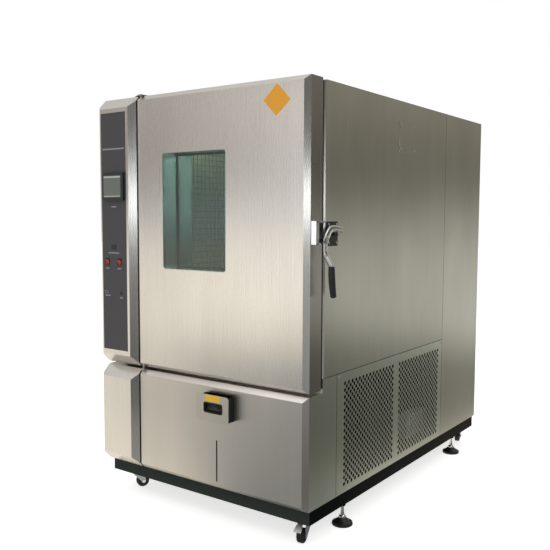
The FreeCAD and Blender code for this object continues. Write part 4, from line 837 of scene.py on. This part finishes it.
bezel_plastic = grained("bezel_plastic", (0.02, 0.028, 0.028), 0.0, 0.4, 500.0)
bezel_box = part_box("touch_panel_bezel")
screen_box = screen_low, screen_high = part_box("touch_panel_screen")
screen_outline = box_outline(screen_box, 0.001)
make_piece("screen_bezel",
           framed(box_outline(bezel_box, 0.006), screen_outline, bezel_box[0].y, bezel_box[1].y),
           bezel_plastic, "cabinet", ["touch_panel_bezel"], bevel=0.0015)
screen_glow, tree, surface = new_material("screen_glass_lit")
screen_grain = object_noise(tree, (900.0, 900.0, 900.0), 1.0)
wire(tree, toned(tree, screen_grain, (0.13, 0.14, 0.13), 0.2), surface["Base Color"])
for key, value in (("Roughness", 0.25), ("Emission Color", (0.5, 0.53, 0.5)),
                   ("Emission Strength", 0.08)):
    wire(tree, value, surface[key])
make_piece("screen_pane", plate(screen_outline, screen_low.y, screen_high.y), screen_glow,
           "cabinet", ["touch_panel_screen"])
menu_ink = grained("menu_ink", (0.6, 0.6, 0.56), 0.0, 0.4, 800.0)
menu_lines = joined(
    print_on(screen_low.x + 0.002, screen_high.x - 0.002, screen_low.y, screen_high.z - 0.011,
             screen_high.z - 0.003),
    print_on(screen_low.x + 0.004, screen_high.x - 0.004, screen_low.y, screen_low.z + 0.004,
             screen_low.z + 0.008),
)
make_piece("screen_bars", menu_lines, menu_ink, "cabinet")


# Counter, rockers, data socket and buzzer: small bought parts in black plastic. The rockers are
# clear red and dished between their two ends.
part_plastic = grained("part_plastic", (0.016, 0.018, 0.016), 0.0, 0.35, 600.0)
dress(["rocker_frames", "alarm_buzzer"], part_plastic)
counter_box = counter_low, counter_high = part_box("counter_display")
make_piece("counter_body",
           plate(box_outline(counter_box, 0.002), counter_low.y + 0.0004, counter_high.y),
           part_plastic, "cabinet", ["counter_display"], bevel=0.0003)
window_dark = grained("counter_window", (0.004, 0.005, 0.004), 0.0, 0.12, 300.0)
window_gap = 0.0035
level_middle = (counter_low.z + counter_high.z) / 2.0
counter_rows = [block((counter_low.x + window_gap, counter_low.y, row_low),
                      (counter_high.x - window_gap, counter_low.y + 0.0012, row_high))
                for row_low, row_high in (
                    (counter_low.z + window_gap, level_middle - window_gap / 3.0),
                    (level_middle + window_gap / 3.0, counter_high.z - window_gap))]
make_piece("counter_windows", joined(*counter_rows), window_dark, "cabinet")
dress(["data_socket"], grained("socket_shell", (0.2, 0.24, 0.33), 0.8, 0.3, 600.0))

rocker_red = grained("rocker_red", (0.5, 0.016, 0.014), 0.0, 0.22, 200.0, change=0.06)
rocker_tilt = math.radians(10.0)
half_z = 0.0125
travel = np.linspace(-1.0, 1.0, 17)
dish = np.column_stack([-0.0058 + 0.0032 * (1.0 - travel ** 2), half_z * travel])
rocker_outline = np.concatenate([dish, [(0.0029, half_z - 0.0018), (0.0029, 0.0018 - half_z)]])
for side in ("left", "right"):
    rocker_low, rocker_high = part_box("rocker_" + side)
    half_x = (rocker_high.x - rocker_low.x) / 2.0
    cap = turned(slab(rocker_outline, -half_x, half_x),
                 (0, math.cos(rocker_tilt), math.sin(rocker_tilt)),
                 (0, -math.sin(rocker_tilt), math.cos(rocker_tilt)), (1, 0, 0),
                 joints["rocker_%s_press" % side]["pos_m"])
    make_piece("rocker_cap_" + side, cap, rocker_red, "rocker_switch_" + side,
               ["rocker_" + side], bevel=0.0006)


# Lower front: a bevelled stainless pan. The sight glass stands behind its slot, and the water
# drawer, drawn out a little, has a stainless plate, black sides and a sunk black pull.
dress(["lower_front_panel"],
      brushed_stainless("lower_stainless", (0.72, 0.69, 0.65), cloud=0.08))
dress(["sight_glass"], grained("sight_dark", (0.01, 0.011, 0.012), 0.0, 0.2, 200.0))
dress(["drawer_tray"], grained("tray_plastic", (0.012, 0.012, 0.013), 0.0, 0.5, 400.0))

plate_box = plate_low, plate_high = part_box("drawer_front")
pull_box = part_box("drawer_pull")
pull_radius = 0.010
drawer_steel = brushed_stainless("drawer_stainless", (0.7, 0.67, 0.62), roughness=0.34)
make_piece("drawer_plate",
           framed(box_outline(plate_box, 0.014), box_outline(pull_box, pull_radius), plate_low.y,
                  plate_high.y),
           drawer_steel, "drawer", ["drawer_front"], bevel=0.0006)

# The pull is a moulded cup: its rim rolls in over a radius to a sloping floor.
cup_steps = [
    # inset and depth of each ring, from the back of the rim over the lip to the floor
    (0.0, 0.024), (0.0, 0.0005), (0.0007, 0.0), (0.0032, 0.0), (0.0048, 0.0012), (0.006, 0.005),
    (0.0075, 0.016), (0.010, 0.019),
]
cup_rings = [upright(box_outline(pull_box, max(pull_radius - inset * 0.6, 0.003), inset),
                     pull_box[0].y + depth) for inset, depth in cup_steps]
cup_plastic = grained("cup_plastic", (0.012, 0.012, 0.014), 0.0, 0.3, 300.0, relief=0.0003)
make_piece("pull_cup", skin(cup_rings), cup_plastic, "drawer", ["drawer_pull"],
           smooth=0.9)

# A blank yellow sticker on the drawer plate, above the pull.
sticker_yellow = grained("sticker_yellow", (1.0, 0.6, 0.03), 0.0, 0.4, 140.0, change=0.05)
make_piece("drawer_sticker",
           print_on(plate_low.x + 0.058, plate_low.x + 0.139, plate_low.y, plate_high.z - 0.029,
                    plate_high.z - 0.0015),
           sticker_yellow, "drawer")


# Door: the stainless skin with its bevels, the back plate, and the black seal round its edge.
dress(["door_shell", "door_liner"], front_steel)
dress(["door_core", "cabinet_insulation"],
      grained("core_foam", (0.6, 0.55, 0.35), 0.0, 0.8, 300.0))
seal_rubber = grained("seal_rubber", (0.012, 0.012, 0.012), 0.0, 0.6, 300.0)
dress(["door_gasket"], seal_rubber)

# Window: two panes sealed over a dark spacer in a stainless lining that goes through the door. A
# bead of black sealant holds the inner pane. Lamps and diffuse light go straight through the glass.
glass_tint = (0.74, 0.86, 0.83)
window_tint, tree, surface = new_material("window_tint")
for key, value in (("Base Color", glass_tint), ("Roughness", 0.01), ("IOR", 1.45),
                   ("Transmission Weight", 1.0)):
    wire(tree, value, surface[key])
ray = tree.nodes.new("ShaderNodeLightPath").outputs
choose(tree, reckoned(tree, "MAXIMUM", ray["Is Shadow Ray"], ray["Is Diffuse Ray"]),
       tree.nodes["Principled BSDF"].outputs["BSDF"],
       plain_shader(tree, "ShaderNodeBsdfTransparent", glass_tint), tree.nodes["Material Output"])

glass_box = glass_low, glass_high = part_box("window_glass")
pane_gauge = 0.005
pane_outline = box_outline(glass_box, 0.011)
inner_face = glass_high.y - pane_gauge
make_piece("pane_outer", plate(pane_outline, glass_low.y, glass_low.y + pane_gauge), window_tint,
           "door", ["window_glass"])
make_piece("pane_inner", plate(pane_outline, inner_face, glass_high.y), window_tint, "door")
bead_width = 0.006
sealant = framed(pane_outline, box_outline(glass_box, 0.007, bead_width), inner_face - 0.006,
                 inner_face - 0.0002)
make_piece("sealant_bead", sealant, seal_rubber, "door")
dress(["window_frame"],
      brushed_stainless("lining_stainless", (0.58, 0.68, 0.66), roughness=0.22, cloud=0.12,
                        anisotropy=0.2))

# A blank orange diamond sticker at the door's upper right.
sticker_orange = grained("sticker_orange", (1.0, 0.44, 0.03), 0.0, 0.38, 90.0, change=0.06)
diamond = [(right - 0.152, 1.926), (right - 0.220, 1.862), (right - 0.157, 1.796),
           (right - 0.085, 1.857)]
make_piece("door_sticker", plate(diamond, front - 0.0002, front + 0.0001), sticker_orange,
           "door")


# Hinges: stainless pivot plates above and below the door.
dress(["hinge_bracket_top", "hinge_bracket_bottom"],
      brushed_stainless("hinge_stainless", (0.6, 0.6, 0.58), roughness=0.35))


# Latch: a chromed cast housing on the door's edge, a chromed lever that hooks over a roller on the
# cabinet, and a ribbed black grip on its drop handle.
chrome = grained("latch_chrome", (0.64, 0.645, 0.65), 1.0, 0.15, 60.0, change=0.04, swing=0.05,
                 relief=0.0002)
cast_dark = grained("latch_cast_dark", (0.05, 0.055, 0.055), 0.8, 0.35, 200.0)
latch_deep = right + 0.026
wall = 0.006
housing_front, housing_back = front + 0.024, front + 0.104
housing_bottom, housing_top = 1.278, 1.372
housing = joined(
    block((right, housing_front, housing_bottom), (latch_deep, housing_front + 0.022, housing_top)),
    block((right, housing_front, housing_top - wall), (latch_deep, housing_back, housing_top)),
    block((right, housing_front, housing_bottom),
          (latch_deep, housing_back, housing_bottom + wall)),
)
pivot = np.array(joints["latch_lever_turn"]["pos_m"])
lever_half = 0.007
lever_inner = pivot[0] - lever_half
plate_face = right + 0.004
make_piece("latch_back_plate",
           block((right, housing_front + 0.002, housing_bottom + 0.002),
                 (plate_face, housing_back - 0.001, housing_top - 0.002)),
           cast_dark, "door", bevel=0.001)
pivot_pin = sideways(lathe([(0.0068, right + 0.003 - pivot[0]), (0.0068, lever_half + 0.0008),
                            (0.0098, lever_half + 0.0008), (0.0098, lever_half + 0.003),
                            (0.008, lever_half + 0.0042)], 28), pivot)
make_piece("latch_body", joined(housing, pivot_pin), chrome, "door", ["latch_housing"],
           bevel=0.0022)


def swept(path, half_width, half_depth, power=2.6, segments=20):
    """Superellipse sections of changing size carried along a path. The half depth is measured
    along X, and the half width is square to it and to the path."""
    tangent = np.gradient(path, axis=0)
    tangent /= np.linalg.norm(tangent, axis=1)[:, None]
    side = np.cross(tangent, (1.0, 0.0, 0.0))
    side /= np.linalg.norm(side, axis=1)[:, None]
    binormal = np.cross(side, tangent)
    turns = np.linspace(0.0, 2.0 * math.pi, segments, endpoint=False)
    waves = np.array([np.cos(turns), np.sin(turns)])
    c, s = np.sign(waves) * np.abs(waves) ** (2.0 / power)
    return skin(path[:, None] + half_width[:, None, None] * c[:, None] * side[:, None]
                + half_depth[:, None, None] * s[:, None] * binormal[:, None])


def smooth_line(points, count=6):
    """A Catmull-Rom curve through a few points, as count even steps per stretch."""
    points = np.asarray(points, float)
    padded = np.concatenate([[2 * points[0] - points[1]], points, [2 * points[-1] - points[-2]]])
    share = np.linspace(0.0, 1.0, count, endpoint=False)[:, None]
    stretches = [0.5 * (2 * b + (c - a) * share + (2 * a - 5 * b + 4 * c - d) * share ** 2
                        + (3 * b - a - 3 * c + d) * share ** 3)
                 for a, b, c, d in zip(padded, padded[1:], padded[2:], padded[3:])]
    return np.concatenate([*stretches, points[-1:]])


# place along Y and Z from the pivot, half width and half depth of the arm
arm_run = smooth_line([(-0.004, -0.002, 0.015, 0.0068), (0.016, 0.020, 0.017, 0.007),
                       (0.036, 0.040, 0.015, 0.007), (0.066, 0.045, 0.014, 0.007),
                       (0.100, 0.042, 0.014, 0.007), (0.124, 0.037, 0.0125, 0.0065)])
arm_line = np.column_stack([0.0 * arm_run[:, 0], arm_run[:, :2]]) + pivot
arm = swept(arm_line, arm_run[:, 2], arm_run[:, 3])
hub = sideways(lathe([(0.0071, -0.007), (0.0155, -0.007), (0.017, -0.0055), (0.017, 0.0055),
                      (0.0155, 0.007), (0.0071, 0.007)], 36), pivot)
# place from the pivot, half width and half depth of the drop handle
drop_run = smooth_line([(0.0, 0.0, -0.006, 0.0105, 0.0065), (0.0, -0.001, -0.034, 0.0100, 0.0065),
                        (0.001, 0.001, -0.058, 0.0105, 0.0068),
                        (0.011, 0.006, -0.080, 0.0130, 0.0078),
                        (0.0235, 0.010, -0.1045, 0.0125, 0.0085)])
drop = swept(drop_run[:, :3] + pivot, drop_run[:, 3], drop_run[:, 4], power=3.4)
make_piece("latch_arm", joined(arm, hub, drop), chrome, "lever", ["latch_lever"],
           smooth=0.9)

# The grip swells towards its middle, has ribs round it and ends in a half ellipse.
grip_low, grip_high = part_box("latch_grip")
grip_margin = 0.001
grip_widest = 0.0146
rib_height = 0.0005
rib_count = 12
grip_top = grip_high.z - grip_margin
grip_length = grip_top - grip_low.z - grip_margin
grip_share = np.linspace(0.0, 1.0, 97)
grip_line = np.column_stack([np.full(97, grip_high.x - grip_widest),
                             pivot[1] + 0.011 + 0.018 * grip_share ** 1.8,
                             grip_top - grip_length * grip_share])
ribs = rib_height * np.sin(2.0 * math.pi * rib_count * grip_share)
swell = 0.0126 + 0.0014 * np.sin(math.pi * np.minimum(grip_share * 1.15, 1.0) ** 0.8)
end_round = np.sqrt(np.clip(1.0 - ((grip_share - 0.94) / 0.062).clip(0.0, 0.999) ** 2, 0.0, 1.0))
grip_radius = (swell + ribs * (grip_share < 0.93)) * end_round
grip_rubber = grained("grip_rubber", (0.02, 0.023, 0.024), 0.0, 0.48, 350.0, relief=0.0003)
make_piece("grip_sleeve", swept(grip_line, grip_radius, grip_radius, power=2.0, segments=28),
           grip_rubber, "lever", ["latch_grip"], smooth=1.2)

strike_front, strike_back = front + 0.140, front + 0.226
strike_bottom, strike_top = 1.267, 1.370
roller_x = lever_inner - 0.004
roller_y = front + 0.176
roller_z = 1.321
strike_plate = block((right, strike_front, strike_bottom), (plate_face, strike_back, strike_top))
cheek = slab([(right + 0.003, roller_y - 0.016), (roller_x, roller_y - 0.008),
              (roller_x, roller_y + 0.008), (right + 0.003, roller_y + 0.016)],
             roller_z - 0.009, roller_z + 0.009)
make_piece("strike_base", joined(strike_plate, cheek), cast_dark, "cabinet",
           ["latch_strike"], bevel=0.0012)
roller = sideways(lathe([(0.004, 0.0), (0.0088, 0.0), (0.0088, 0.0165), (0.0082, 0.0172),
                         (0.004, 0.0172)], 28), (roller_x, roller_y, roller_z))
strike_screws = [screw_head(0.0058, 0.003, 0.0008, 0.0012, spot)
                 for spot in corner_spots(plate_face, strike_front + 0.012, strike_back - 0.012,
                                         strike_bottom + 0.013, strike_top - 0.013)]
make_piece("strike_roller", joined(roller, *strike_screws), plated_steel, "cabinet")


# Power gland: a black nylon cable gland on the rear sheet.
dress(["power_gland"], grained("gland_nylon", (0.015, 0.015, 0.016), 0.0, 0.42, 300.0))
